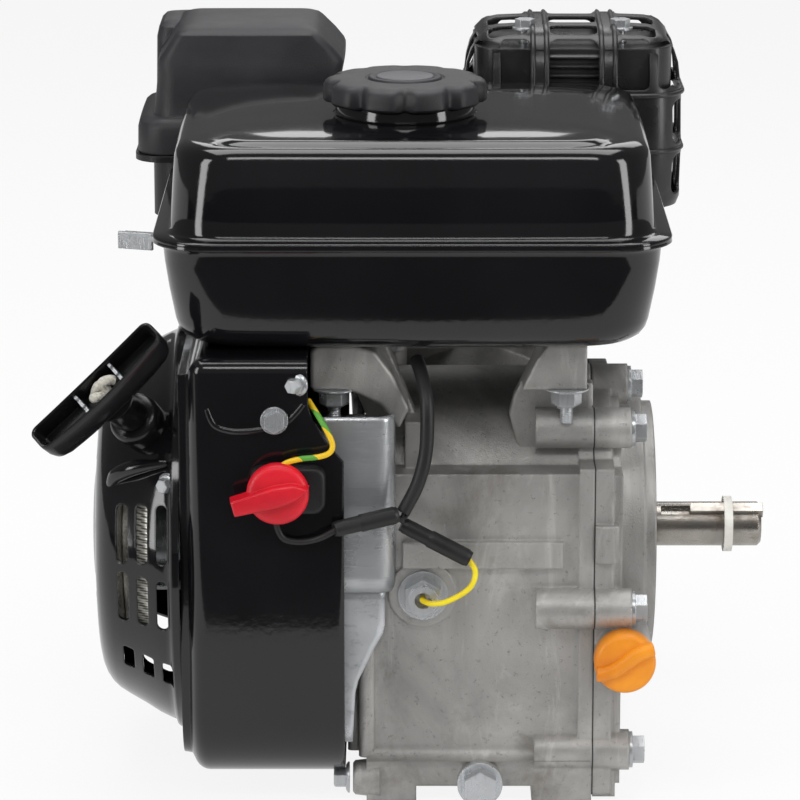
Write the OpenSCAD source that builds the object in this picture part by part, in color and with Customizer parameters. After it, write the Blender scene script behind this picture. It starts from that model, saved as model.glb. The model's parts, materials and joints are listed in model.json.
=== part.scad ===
// Small horizontal-shaft petrol engine, single cylinder, overhead valves, air cooled.
// All sizes are in millimetres. The origin is on the crankshaft axis at the drive-end face of the
// crankcase cover. X runs out along the output shaft, Y towards the cylinder head, Z up.
// The flywheel, fan and rope starter are at the other end of the shaft, on the -X side.

/* [Crankshaft and cylinder] */
// Diameter of the output shaft
shaft_d = 20; // [18:0.5:25]
// Free length of the output shaft beyond the cover's face
shaft_len = 50.3; // [40:0.1:80]
// Bore of the cylinder
bore = 68; // [60:0.5:74]
// Stroke of the piston
stroke = 54; // [46:1:56]
// Length of the connecting rod between its two eyes
rod_len = 84; // [80:1:96]
// Lean of the cylinder above level, in degrees
lean = 25; // [15:1:30]

/* [Crankcase] */
// Height of the shaft axis above the mounting base
crank_h = 106; // [100:1:130]
// Length of the crankcase casting along the shaft
case_len = 100; // [96:1:120]
// Depth of the crankcase cover, from its joint face to the drive-end face
cover_depth = 28; // [26:0.5:36]
// Thickness of the crankcase walls
case_wall = 6; // [4:0.5:9]
// Thickness of the mounting foot
foot_t = 20; // [12:1:28]
// Distance from the shaft axis to the near row of base holes
base_near = 66; // [60:1:72]
// Distance between the two rows of base holes, across the shaft
base_span_y = 162; // [156:1:172]
// Distance between the base holes along the shaft
base_span_x = 75.5; // [60:0.5:80]

/* [Flywheel and starter] */
// Outer diameter of the flywheel
flywheel_d = 160; // [130:2:166]
// Radius of the round part of the fan cover
cowl_r = 95; // [92:1:110]
// Diameter of the rope starter's housing
recoil_d = 176; // [170:2:190]
// Length of rope that can be pulled out
rope_pull = 850; // [500:10:1000]

/* [Fuel tank] */
// Width of the fuel tank along the shaft, over its seam flange
tank_w = 223; // [190:1:240]
// Depth of the fuel tank across the shaft, over its seam flange
tank_d = 190; // [170:1:200]
// Height of the tank from its seam to its top
tank_top_h = 40; // [30:1:60]
// Depth of the tank from its seam to its bottom
tank_bottom_h = 46; // [40:1:52]
// Outer diameter of the fuel cap
cap_d = 74; // [60:1:84]

/* [Air cleaner and muffler] */
// Width of the air cleaner along the shaft
air_w = 97; // [80:1:110]
// Depth of the air cleaner across the shaft
air_d = 88; // [70:1:100]
// Width of the muffler guard along the shaft
guard_w = 105; // [90:1:115]
// Depth of the muffler guard across the shaft
guard_d = 80; // [70:1:95]
// Height of the muffler guard
guard_h = 84; // [76:1:110]

/* [Hidden] */
$fn = 48;

// Running clearance of shafts, pins and spindles in their bores, on the radius
run_gap = 0.03;
// Clearance of bolts in their holes, on the radius
bolt_gap = 0.15;
// Air left between parts that pass each other
air_gap = 1.5;
// Thickness of pressed steel sheet
sheet = 1.5;

// --- crankshaft stations along X
part_x = -cover_depth;
case_x = part_x - case_len;
cyl_x = part_x - case_len / 2;
flange_t = 16;
flange_x = part_x + flange_t;
journal_r = shaft_d / 2 + 2.5;
bearing_r = journal_r + 13.5;
bearing_w = 15;
bearing_x = part_x + 2;
wall_x = case_x + 7;
bearing2_x = wall_x - 1;
bearing_boss_t = 7;
seal_w = 6;
seal_r = journal_r + 8.1;
throw_r = stroke / 2;
pin_r = 13;
rod_w = 20;
web_t = 13;
web_gap = rod_w / 2 + 0.5;
web_pin_r = pin_r + 4;
web_r = 38;

// --- valve gear drive
gear_m = 2;
crank_teeth = 20;
cam_teeth = 40;
gov_teeth = 15;
gear_w = 10;
function pitch_r(n) = gear_m * n / 2;
gear_slack = 0.35;
cam_dist = pitch_r(crank_teeth) + pitch_r(cam_teeth);
valve_row = bore / 2 + 13;
cam_lift_z = sqrt(cam_dist * cam_dist - valve_row * valve_row);
valve_x = 14;
// A point of the leaning cylinder's frame, given across and along the cylinder, as [Y, Z]
function lean_yz(across, along) = [across * sin(lean) + along * cos(lean),
    along * sin(lean) - across * cos(lean)];
cam_yz = lean_yz(valve_row, cam_lift_z);
cam_angle = atan2(cam_yz[1], cam_yz[0]);
gov_angle = cam_angle - 6 * 360 / crank_teeth;
gov_dist = pitch_r(crank_teeth) + pitch_r(gov_teeth);
gov_yz = [gov_dist * cos(gov_angle), gov_dist * sin(gov_angle)];
cam_shaft_r = 8;
lobe_r = 10;
lobe_lift = 4.5;
cam_boss_r = 14;
gov_pin_r = 3;

// --- cylinder, measured along its own axis from the crankshaft
pin_z = throw_r + rod_len;
crown_h = 20;
deck_z = pin_z + crown_h + 0.5;
sleeve_t = 3;
gear_x = cyl_x + bore / 2 + sleeve_t + 1;
sleeve_z = 62;
barrel_r = bore / 2 + sleeve_t + 7;
fin_x = barrel_r + 4.5;
fin_y = barrel_r - 1;
fin_t = 2.2;
fin_pitch = 8;
head_bolt_x = fin_x - 7;
head_bolt_y = fin_y - 7;
chest_t = 16;
gasket_t = 1.2;
head_z = deck_z + gasket_t;
head_h = 39;
head_top = head_z + head_h;
head_boss_z = head_z + 12;
port_z = head_z + 25;
port_r = 11;
valve_y = -10;
port_x = head_bolt_x + 4.5;
port_yz = lean_yz(valve_y, port_z);
rocker_x = bore / 2 - 3;
rocker_y0 = -30;
rocker_y1 = valve_row + 14;
rocker_h = 32;
pin_d = 18;
piston_r = bore / 2 - 0.05;
piston_h = 46;

// --- crankcase outline across the shaft
case_r = 72;
case_front = 73;
case_back = cam_yz[0] + pitch_r(cam_teeth) + gear_m + case_wall + 1;
step_z = 43;
base_z = -crank_h;
foot_front = base_near + 10;
foot_back = base_span_y - base_near + 10;
foot_top = base_z + foot_t;
base_x_out = case_x + 10.8;
base_hole_r = 4.5;
slot_l = 14;
boss_r = 9;
cover_bolt_yz = [[-54, 59], [-18, 70], [-case_front - 3, -17], [-case_front + 3, base_z + 22],
    [case_back - 4, base_z + 22], [case_back - 4, 4]];
pto_pcd = 92.1;
pto_hole_r = 3.4;
pto_depth = 18;
dip_x = -15.2;
dip_z = -37.4;
dip_hole_r = 10;
dip_cap_d = 27;
dip_y = case_front + 14;
drain_x = cyl_x;
drain_z = base_z + 10;
sensor_x = -103.2;
sensor_z = -11;

// --- flywheel end
fly_x = case_x - 15;
fly_w = 40;
fly_r = flywheel_d / 2;
taper_l = 32;
hub_x = fly_x - taper_l - 2;
fan_x = fly_x - fly_w;
fan_w = 20;
cup_r = 30;
coil_r = fly_r + 11;
coil_x1 = fly_x - 15;
cowl_x1 = case_x - 9;
cowl_x0 = cowl_x1 - 71.5;
recoil_x0 = cowl_x0 - 43.5;
recoil_x1 = cowl_x0;
reel_r = 48;
reel_x0 = recoil_x0 + 8;
reel_w = 15;
rope_d = 5;
reel_wind_r = 42;
handle_dir = [-0.35, -0.76, 0.5477];
bar_dir = [0.8414, 0.0073, 0.5478];
guide_pos = [recoil_x0 + 22, -0.75 * recoil_d / 2, 0.768 * recoil_d / 2];
neck_l = 24;

// --- tank
tank_x0 = -tank_w + 3.6;
tank_x1 = tank_x0 + tank_w;
tank_cx = (tank_x0 + tank_x1) / 2;
tank_y0 = -92;
tank_y1 = tank_y0 + tank_d;
tank_cy = (tank_y0 + tank_y1) / 2;
seam_z = 149.6;
seam_t = 3;
rim_w = 9;
tank_low = seam_z - tank_bottom_h;
tank_high = seam_z + tank_top_h;
tank_step_y = 18;
tank_step_h = 15;
stud_x = [case_x - 14.2, part_x - 13.8];
stud_y = -58;
arm_top = tank_low - 6.5;
arm_h = 18;
arm_w = 18;
cap_x = -111;
cap_y = -12;
neck_r = cap_d / 2 - 12;
cap_h = 15;

// --- intake and exhaust
insulator_t = 10;
carb_x1 = cyl_x - port_x - insulator_t;
carb_l = 54;
carb_x0 = carb_x1 - carb_l;
carb_cx = (carb_x0 + carb_x1) / 2;
bowl_r = 17.5;
bowl_h = 30;
air_x0 = -238;
air_x1 = air_x0 + air_w;
air_y0 = 101;
air_y1 = air_y0 + air_d;
air_z0 = 119;
air_seam = 150;
air_top = 205;
elbow_r = 14;
guard_x0 = -84;
guard_x1 = guard_x0 + guard_w;
guard_y0 = 108;
guard_y1 = guard_y0 + guard_d;
guard_z0 = 121;
guard_z1 = guard_z0 + guard_h;
can_gap = 6;

// --- switch
switch_x = -165.5;
switch_z = 43;
switch_w = 46;
switch_face = 6;
cowl_front = -cowl_r;

// --- key and keyway of the output shaft
key_w = 5;
key_h = 5;
key_x = 18;
key_run = -5;
key_turn = 35;

// --- cylinder head details
rocker_z = head_top + 20;
rocker_bolts = [for (x = [-1, 1], y = [rocker_y0 + 1, rocker_y1 - 1]) [x * (rocker_x - 1), y]];
plug_dir = [-0.6, 0.3, 0.742];
plug_start = [-20, 14, head_z];
plug_seat = 32;

// --- fan cover and starter handle
cowl_top = tank_low - 4.6;
cowl_back = 104;
cowl_notch = [cowl_x1 - 21, stud_y + 34, arm_top - arm_h - 14];
bar_l = 68;
bar_h = 15;

// --- carburettor, throttle and governor linkage
carb_y = port_yz[0];
carb_z = port_yz[1];
carb_bore = 10;
throttle_x = carb_x1 - 8;
choke_x = carb_x0 + 9;
lever_z = tank_low + 1.2;
gov_x = case_x + 10;
gov_y = 25;
link_y = gov_y + 86;
throttle_reach = carb_y - link_y;
pivot_xy = [-196, 74];
control_z = tank_low + 10;
port_bolt = 21;
port_face = cyl_x + port_x;

// --- exhaust pipe
pipe_r = 10;
bend_r = 14;
pipe_x = port_face + 22;
pipe_wall = 1.5;

// --- routes of the hose, the plug lead and the wires
lead_route = [[-139.5, 189, 48], [-146, 193, 47], [-151, 190, 34], [-148, 172, 4], [-140, 142, -4],
    [-133.5, 120, 2], [-133, 109, 24], [-134.5, 98.5, 40], [-143, 88, 41], [-152, 84, 40],
    [coil_x1 + 0.3, 83.5, 40]];
hose_end = [carb_cx + 9, carb_y - 20, carb_z - 12];
hose_route = [[-150, 80, tank_low + tank_step_h - 0.2], [-150, 84, 112], [-150, 97, 106], [-150, 109, 96],
    [-150, 109.4, 84], hose_end + [2, -9, 10], hose_end + [1, -6.3, 2], hose_end - [0, 2.4, 0],
    hose_end - [0, 0.3, 0]];
harness_route = [[-106, -62, 92], [-103, -72, 84], [-101.5, -79, 74], [-102, -82, 56], [-105.5, -84.5, 42],
    [-112, -88.5, 30]];
plug_a = [[-141.5, -100.5, 26], [-114.5, -91, 30]];
plug_b = [[-112.5, -85, 24], [-83, -86, 8.5]];
switch_lead = [plug_a[0], [-147, -100.5, 23.5], [-153, -99, 19], [-159, -98, 16], [-164, -98, 17.5],
    [-165.8, -98.5, 21.3]];
yellow_route = [[-82.4, -86, 7.9], [-80.5, -86.5, 3], [-83, -88, -4], [-92, -90.5, -9], [-99, -88.5, -11],
    [-103.2, -84, -11], [-103.2, -79.6, -11]];
earth_route = [[-151, -97.3, 74], [-146.5, -99.5, 68], [-145, -102.7, 61], [-150, -103, 57.5],
    [-158, -103, 60.5], [-167, -102.6, 62]];

/* ---------- shared shapes ---------- */

// Round bar along X between two stations
module bar_x(x0, x1, r, yz = [0, 0])
    translate([x0, yz[0], yz[1]]) rotate([0, 90, 0]) cylinder(h = x1 - x0, r = r);

// Outline drawn in Y and Z, given thickness along X
module slab_x(x0, x1) translate([x0, 0, 0]) rotate([90, 0, 90]) linear_extrude(x1 - x0) children();

// Outline drawn in X and Z, given thickness along Y
module slab_y(y0, y1) translate([0, y1, 0]) rotate([90, 0, 0]) linear_extrude(y1 - y0) children();

// Outline drawn in X and Y, given thickness along Z
module slab_z(z0, z1) translate([0, 0, z0]) linear_extrude(z1 - z0) children();

// Turns +Z to a direction, at a place
module at(p, v) translate(p) rotate([0, acos(v[2] / norm(v)), atan2(v[1], v[0])]) children();

// The cylinder's own frame: Z along the bore, Y across it and downwards
module leaning() translate([cyl_x, 0, 0]) rotate([lean - 90, 0, 0]) children();

module box(lo, hi) translate(lo) cube(hi - lo);

module round_rect(x0, y0, x1, y1, r)
    translate([x0 + r, y0 + r]) offset(r = r) square([x1 - x0 - 2 * r, y1 - y0 - 2 * r]);

// Hexagon flange bolt, head above the seat, shank below
module flange_bolt(d, length) {
    cylinder(h = 0.2 * d, r = d);
    translate([0, 0, 0.2 * d]) cylinder(h = 0.65 * d, r = 0.8 * d, $fn = 6);
    translate([0, 0, -length]) cylinder(h = length, r = d / 2);
}
module bolt_hole(d, length) translate([0, 0, -length]) cylinder(h = length + 1, r = d / 2 + bolt_gap);
module thread_hole(d, length) translate([0, 0, -length]) cylinder(h = length + 1, r = d / 2 + 0.05);

// Spur gear outline with true involute flanks; a tooth stands on the +X side
function involute(a) = tan(a) * 180 / PI - a;
function flank(n, r) = let (rp = pitch_r(n), rb = rp * cos(20), q = min(rb / r, 1))
    90 / n - gear_slack * 90 / PI / rp + involute(20) - involute(acos(q));
module gear_outline(n) {
    rp = pitch_r(n);
    radii = [rp - 1.2 * gear_m, rp * cos(20), rp - 0.3 * gear_m, rp + 0.4 * gear_m, rp + 0.92 * gear_m];
    steps = [for (r = radii) max(r, rp - 1.2 * gear_m)];
    polygon([for (i = [0:n - 1], s = [-1, 1], k = [0:4])
        let (r = steps[s < 0 ? k : 4 - k], a = 360 * i / n + s * flank(n, max(r, rp * cos(20))))
        [r * cos(a), r * sin(a)]]);
}

// Smooth curve through chosen points, as more points
function spline_at(p, i, t) = let (n = len(p) - 1, a = p[max(i - 1, 0)], b = p[i],
    c = p[min(i + 1, n)], d = p[min(i + 2, n)])
    0.5 * (2 * b + (c - a) * t + (2 * a - 5 * b + 4 * c - d) * t * t
    + (3 * b - a - 3 * c + d) * t * t * t);
function smooth_path(p, n) = concat([for (i = [0:len(p) - 2], k = [0:n - 1]) spline_at(p, i, k / n)],
    [p[len(p) - 1]]);
function unit(v) = v / norm(v);
// Round lead or hose along a path, as one swept solid; ref is a direction the path never takes
module swept(path, r, ref = [0, 1, 0], sides = 8) {
    last = len(path) - 1;
    points = [for (i = [0:last], k = [0:sides - 1])
        let (t = unit(path[min(i + 1, last)] - path[max(i - 1, 0)]), u = unit(cross(t, ref)),
            v = cross(t, u), a = 360 * k / sides)
        path[i] + r * (cos(a) * u + sin(a) * v)];
    sides_faces = [for (i = [0:last - 1], k = [0:sides - 1]) let (a = i * sides, n = (k + 1) % sides)
        [a + k, a + sides + k, a + sides + n, a + n]];
    polyhedron(points = points, convexity = 10, faces = concat([[for (k = [0:sides - 1]) k]],
        [[for (k = [sides - 1:-1:0]) last * sides + k]], sides_faces));
}

/* ---------- crankcase and cover ---------- */

// Silhouette of the crankcase seen along the shaft, grown or shrunk by d
module case_outline(d = 0) {
    circle(r = case_r + d, $fn = 96);
    translate([-case_front - d, base_z + 6 - d])
        square([case_front + case_back + 2 * d, step_z - base_z - 6 + 2 * d]);
}
// Rim that carries the cover: the silhouette with a boss at every bolt
module rim_outline() {
    case_outline(3);
    for (p = cover_bolt_yz) translate(p) circle(r = boss_r);
}
module cover_bolt_places() for (p = cover_bolt_yz) at([flange_x, p[0], p[1]], [1, 0, 0]) children();
module base_holes() for (y = [-base_near, base_span_y - base_near]) {
    translate([base_x_out, y, base_z - 1]) cylinder(h = foot_t + 2, r = base_hole_r);
    translate([base_x_out + base_span_x, y, base_z - 1]) linear_extrude(foot_t + 2)
        for (s = [-1, 1]) translate([s * (slot_l / 2 - base_hole_r), 0]) circle(r = base_hole_r);
    box([base_x_out + base_span_x - slot_l / 2 + base_hole_r, y - base_hole_r, base_z - 1],
        [base_x_out + base_span_x + slot_l / 2 - base_hole_r, y + base_hole_r, foot_top + 1]);
}
// Arm that carries the tank: a block on a web that grows out of the case
module tank_arm(x, root_x) {
    box([x - arm_w / 2, stud_y - arm_w / 2, arm_top - arm_h], [x + arm_w / 2, -34, arm_top]);
    slab_y(-48, -34) polygon([[x - arm_w / 2, arm_top], [x - arm_w / 2, arm_top - arm_h],
        [max(x - arm_w / 2, min(x + arm_w / 2, cowl_x1 + sheet + 1)), arm_top - arm_h],
        [root_x[0], 58], [root_x[0], 40], [root_x[1], 40], [max(x + arm_w / 2, root_x[1]), 62],
        [max(x + arm_w / 2, root_x[1] - 14), arm_top]]);
}
module barrel_solid() leaning() {
    translate([0, 0, 40]) cylinder(h = deck_z - 40, r = barrel_r);
    for (z = [sleeve_z + 12:fin_pitch:deck_z - 14])
        slab_z(z, z + fin_t) round_rect(-fin_x, -fin_y, fin_x, fin_y, 10);
    slab_z(deck_z - 7, deck_z) round_rect(-fin_x, -fin_y, fin_x, valve_row + 10, 10);
    slab_z(cam_lift_z + 8, deck_z) round_rect(-valve_x - 13, 30, valve_x + 13, valve_row + 9, 5);
    for (x = [-1, 1], y = [-1, 1]) translate([x * head_bolt_x, y * head_bolt_y, sleeve_z + 12])
        cylinder(h = deck_z - sleeve_z - 12, r = 7);
}
module coil_bosses() for (s = [-1, 1]) leaning()
    translate([-fin_x, s * 17, coil_r]) rotate([0, -90, 0]) cylinder(h = cyl_x - fin_x - coil_x1, r = 5);
module crankcase() color([0.62, 0.61, 0.59]) difference() {
    union() {
        slab_x(case_x, part_x - gasket_t / 2) case_outline();
        slab_x(part_x - 7, part_x - gasket_t / 2) rim_outline();
        slab_x(part_x - 26, part_x - gasket_t / 2) for (p = cover_bolt_yz) translate(p) circle(r = boss_r);
        box([case_x, -foot_front, base_z], [part_x - gasket_t / 2, foot_back, foot_top]);
        box([case_x + 16, -case_front - 3, 1], [part_x - 14, 0, 13]);
        box([case_x + 17, -case_front + 10, 0], [case_x + 26, 10, case_r - 8]);
        bar_x(case_x - 6, case_x, bearing_r + 8);
        at([drain_x, -foot_front - 5, drain_z], [0, 1, 0]) cylinder(h = 12, r = 10);
        at([sensor_x, -case_front - 1.5, sensor_z], [0, 1, 0]) cylinder(h = 10, r = 15);
        tank_arm(stud_x[0], [case_x + 2, case_x + 22]);
        tank_arm(stud_x[1], [stud_x[1] - 16, stud_x[1] + 8]);
        barrel_solid();
        for (p = [[-58, 34], [-62, -52]]) bar_x(cowl_x1 + sheet, case_x, 6, p);
        coil_bosses();
        translate([gov_x, gov_y, 50]) cylinder(h = case_r - 46, r = 8);
    }
    difference() {
        slab_x(wall_x, part_x) case_outline(-case_wall);
        bar_x(case_x, bearing2_x + bearing_w, bearing_r + bearing_boss_t);
    }
    bar_x(bearing2_x, bearing2_x + bearing_w + 1, bearing_r);
    translate([gov_x, gov_y, 40]) cylinder(h = 60, r = 3.5 + run_gap);
    bar_x(case_x - 7, wall_x, seal_r);
    leaning() {
        translate([0, 0, 30]) cylinder(h = deck_z, r = bore / 2 + sleeve_t);
        for (x = [-valve_x, valve_x]) {
            translate([x, valve_row, 50]) cylinder(h = 25, r = 5 + run_gap);
            translate([x, valve_row, 66]) cylinder(h = deck_z, r = 6.5);
            translate([x, valve_row, cam_lift_z]) cylinder(h = lobe_r + 7, r = 13.5);
        }
        for (x = [-1, 1], y = [-1, 1]) translate([x * head_bolt_x, y * head_bolt_y, deck_z])
            thread_hole(8, 32);
    }
    bar_x(case_x + 2, wall_x, cam_shaft_r + run_gap, cam_yz);
    cover_bolt_places() thread_hole(8, 34);
    base_holes();
    box([case_x + 22, -foot_front - 1, base_z - 1], [part_x - 27, foot_back + 1, base_z + 7]);
    at([drain_x, -foot_front - 5, drain_z], [0, -1, 0]) thread_hole(10, 16);
    at([sensor_x, -case_front - 1.5, sensor_z], [0, -1, 0]) bolt_hole(14, 24);
    for (x = stud_x) translate([x, stud_y, arm_top]) bolt_hole(6, arm_h + 2);
    for (p = [[-58, 34], [-62, -52]]) at([cowl_x1 + sheet, p[0], p[1]], [-1, 0, 0]) thread_hole(6, 14);
    for (s = [-1, 1]) leaning() translate([coil_x1 - cyl_x, s * 17, coil_r]) rotate([0, -90, 0])
        thread_hole(5, 12);
}
module cylinder_sleeve() color([0.42, 0.42, 0.43]) leaning() difference() {
    translate([0, 0, sleeve_z]) cylinder(h = deck_z - sleeve_z, r = bore / 2 + sleeve_t - 0.02);
    translate([0, 0, sleeve_z - 1]) cylinder(h = deck_z, r = bore / 2);
}
module gaskets() color([0.1, 0.1, 0.1]) {
    carb_flange(carb_x1, cyl_x - port_x);
    difference() {
        slab_x(part_x - gasket_t / 2, part_x) rim_outline();
        slab_x(part_x - 1, part_x + 1) case_outline(-case_wall);
        cover_bolt_places() bolt_hole(8, flange_t + 5);
    }
    leaning() difference() {
        slab_z(deck_z, head_z) round_rect(-fin_x, -fin_y, fin_x, valve_row + 10, 10);
        translate([0, 0, deck_z - 1]) cylinder(h = 4, r = bore / 2 + sleeve_t);
        for (x = [-valve_x, valve_x]) translate([x, valve_row, deck_z - 1]) cylinder(h = 4, r = 6.5);
        for (x = [-1, 1], y = [-1, 1]) translate([x * head_bolt_x, y * head_bolt_y, head_z]) bolt_hole(8, 3);
    }
}
module crankcase_cover() color([0.66, 0.65, 0.63]) {
    difference() {
        union() {
            slab_x(part_x, flange_x - 8) rim_outline();
            slab_x(part_x, flange_x - 4) case_outline(-1);
            for (p = cover_bolt_yz) bar_x(part_x, flange_x, boss_r, p);
            bar_x(part_x, -5, 60);
            bar_x(part_x, 0, 56);
            bar_x(part_x, flange_x - 1, cam_boss_r, cam_yz);
            box([part_x, -case_front - 6, 4], [flange_x - 6, -case_front + 10, 21]);
            at([dip_x, -dip_y, dip_z], [0, 1, 0]) cylinder(h = 40, r = dip_hole_r + 2.8);
            at([dip_x, case_back + 4, dip_z], [0, -1, 0]) cylinder(h = 50, r = dip_hole_r + 2.8);
            box([part_x, -case_front, base_z + 1], [flange_x - 6, case_back, base_z + 30]);
        }
        difference() {
            slab_x(part_x - 1, flange_x - 4 - case_wall) case_outline(-case_wall);
            bar_x(bearing_x + 1, flange_x, bearing_r + bearing_boss_t);
            bar_x(part_x, flange_x, cam_boss_r, cam_yz);
        }
        bar_x(part_x - 1, bearing_x + bearing_w, bearing_r);
        bar_x(part_x, -seal_w - 3, journal_r + 3);
        bar_x(-seal_w - 3, 1, seal_r);
        bar_x(part_x - 1, flange_x - 6, cam_shaft_r + run_gap, cam_yz);
        cover_bolt_places() bolt_hole(8, flange_t + 5);
        for (a = [45:90:315]) at([0, pto_pcd / 2 * cos(a), pto_pcd / 2 * sin(a)], [1, 0, 0])
            translate([0, 0, -pto_depth]) cylinder(h = pto_depth + 1, r = pto_hole_r);
        at([dip_x, -dip_y - 1, dip_z], [0, 1, 0]) cylinder(h = 60, r = dip_hole_r);
        at([dip_x, case_back + 5, dip_z], [0, -1, 0]) cylinder(h = 40, r = dip_hole_r);
    }
    bar_x(gear_x - 3, flange_x - 4, gov_pin_r, gov_yz);
}
module inner_bearing(x0) {
    pitch = (journal_r + bearing_r) / 2;
    for (ring = [[bearing_r - 3, bearing_r - 0.01], [journal_r + run_gap, journal_r + 3.5]]) difference() {
        bar_x(x0, x0 + bearing_w, ring[1]);
        bar_x(x0 - 1, x0 + bearing_w + 1, ring[0]);
    }
    for (i = [0:8]) translate([x0 + bearing_w / 2, pitch * cos(40 * i), pitch * sin(40 * i)])
        sphere(r = (bearing_r - journal_r - 6.5) / 2);
}
module main_bearings() color([0.75, 0.75, 0.77]) {
    inner_bearing(bearing_x);
    inner_bearing(bearing2_x);
}
module seal_ring(x0) difference() {
    bar_x(x0, x0 + seal_w, seal_r - 0.01);
    bar_x(x0 - 1, x0 + seal_w + 1, journal_r + run_gap);
}
module oil_seals() color([0.12, 0.11, 0.11]) {
    seal_ring(-seal_w - 2);
    seal_ring(case_x - 5);
}
module oil_plugs() color([0.72, 0.72, 0.7]) {
    at([drain_x, -foot_front - 5, drain_z], [0, -1, 0]) flange_bolt(10, 14);
    at([dip_x, case_back + 4, dip_z], [0, 1, 0]) {
        cylinder(h = 9, r = dip_cap_d / 2);
        translate([0, 0, 9]) cylinder(h = 6, r = 9, $fn = 6);
        translate([0, 0, -14]) cylinder(h = 15, r = dip_hole_r - 0.1);
    }
}
module dipstick() color([0.95, 0.5, 0.08]) at([dip_x, -dip_y, dip_z], [0, -1, 0]) {
    translate([0, 0, 0.3]) cylinder(h = 6, r = dip_cap_d / 2);
    translate([0, 0, 6]) cylinder(h = 4, r = dip_cap_d / 2 - 1.5);
    translate([0, 0, 9.5]) linear_extrude(4) round_rect(-dip_cap_d / 2 + 2, -2.5, dip_cap_d / 2 - 2, 2.5, 2);
    translate([0, 0, -22]) cylinder(h = 23, r = dip_hole_r - 0.05);
    translate([0, 0, -56]) cylinder(h = 36, r = 2.5);
}
module oil_level_sensor() color([0.7, 0.7, 0.68]) at([sensor_x, -case_front - 1.5, sensor_z], [0, -1, 0]) {
    difference() {
        union() {
            cylinder(h = 2, r = 11);
            translate([0, 0, 2]) cylinder(h = 6, r = 9, $fn = 6);
            translate([0, 0, 2]) cylinder(h = 8, r = 6.5);
        }
        translate([0, 0, 5]) cylinder(h = 6, r = 3.6);
    }
    translate([0, 0, -9]) cylinder(h = 9, r = 7);
    translate([0, 0, -16]) cylinder(h = 8, r = 5);
}

/* ---------- crank train ---------- */

module web_outline() {
    difference() {
        circle(r = web_r, $fn = 96);
        translate([-web_r - 1, 3]) square([2 * web_r + 2, web_r]);
    }
    hull() {
        translate([-web_pin_r, -6]) square([2 * web_pin_r, 4]);
        translate([0, throw_r]) circle(r = web_pin_r);
    }
}
module crankshaft() color([0.55, 0.54, 0.53]) difference() {
    union() {
        leaning() {
            for (s = [-1, 1]) let (x = s * (web_gap + web_t / 2)) slab_x(x - web_t / 2, x + web_t / 2) web_outline();
            translate([-web_gap - 1, 0, throw_r]) rotate([0, 90, 0]) cylinder(h = 2 * web_gap + 2, r = pin_r);
        }
        bar_x(cyl_x + web_gap + 3, -0.5, journal_r);
        bar_x(-1, shaft_len - 1.5, shaft_d / 2);
        translate([shaft_len - 1.5, 0, 0]) rotate([0, 90, 0])
            cylinder(h = 1.5, r1 = shaft_d / 2, r2 = shaft_d / 2 - 1.5);
        bar_x(fly_x, cyl_x - web_gap - 3, journal_r);
        translate([fly_x, 0, 0]) rotate([0, -90, 0]) cylinder(h = taper_l, r1 = journal_r, r2 = journal_r - 3);
        bar_x(fly_x - taper_l - 18, fly_x - taper_l, 7);
    }
    key_seat() translate([-key_run, -key_w / 2, shaft_d / 2 - key_h / 2])
        cube([shaft_len + 1, key_w, key_h]);
    translate([shaft_len, 0, 0]) rotate([0, -90, 0]) translate([0, 0, -1]) cylinder(h = 23, r = 3.4);
}
module key_seat() rotate([key_turn, 0, 0]) mirror([0, 1, 0]) children();
module shaft_key() color([0.35, 0.34, 0.33]) key_seat()
    translate([key_x, -key_w / 2 + 0.02, shaft_d / 2 - key_h / 2 + 0.02])
        cube([shaft_len + 0.6 - key_x, key_w - 0.04, key_h - 0.6]);
module key_band() color([0.9, 0.89, 0.85]) difference() {
    bar_x(33.4, 37.2, shaft_d / 2 + 2.6);
    bar_x(33, 38, shaft_d / 2 + 0.05);
    key_seat() translate([30, -key_w / 2 - 0.1, 0]) cube([10, key_w + 0.2, shaft_d / 2 + 1.95]);
}
module crank_gear() color([0.5, 0.5, 0.5]) difference() {
    slab_x(gear_x, gear_x + gear_w) rotate(cam_angle) gear_outline(crank_teeth);
    bar_x(gear_x - 1, gear_x + gear_w + 1, journal_r + 0.01);
}
module connecting_rod() color([0.68, 0.68, 0.66]) leaning() {
    big_r = pin_r + 7;
    difference() {
        union() {
            translate([-rod_w / 2, 0, pin_z]) rotate([0, 90, 0]) cylinder(h = rod_w, r = pin_d / 2 + 4);
            translate([-rod_w / 2, 0, throw_r]) rotate([0, 90, 0]) cylinder(h = rod_w, r = big_r);
            translate([-rod_w / 2, -big_r - 4, throw_r - 7]) cube([rod_w, 2 * big_r + 8, 14]);
            translate([-6, -8, throw_r]) cube([12, 16, rod_len]);
        }
        translate([-rod_w, 0, throw_r]) rotate([0, 90, 0]) cylinder(h = 2 * rod_w, r = pin_r + run_gap);
        translate([-rod_w, 0, pin_z]) rotate([0, 90, 0]) cylinder(h = 2 * rod_w, r = pin_d / 2 + run_gap);
        for (s = [-1, 1]) translate([s * 6 - 2, -5, throw_r + big_r + 4]) cube([4, 10, rod_len - big_r - 22]);
        translate([-rod_w, -big_r - 5, throw_r - 0.05]) cube([2 * rod_w, 2 * big_r + 10, 0.1]);
    }
}
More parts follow.
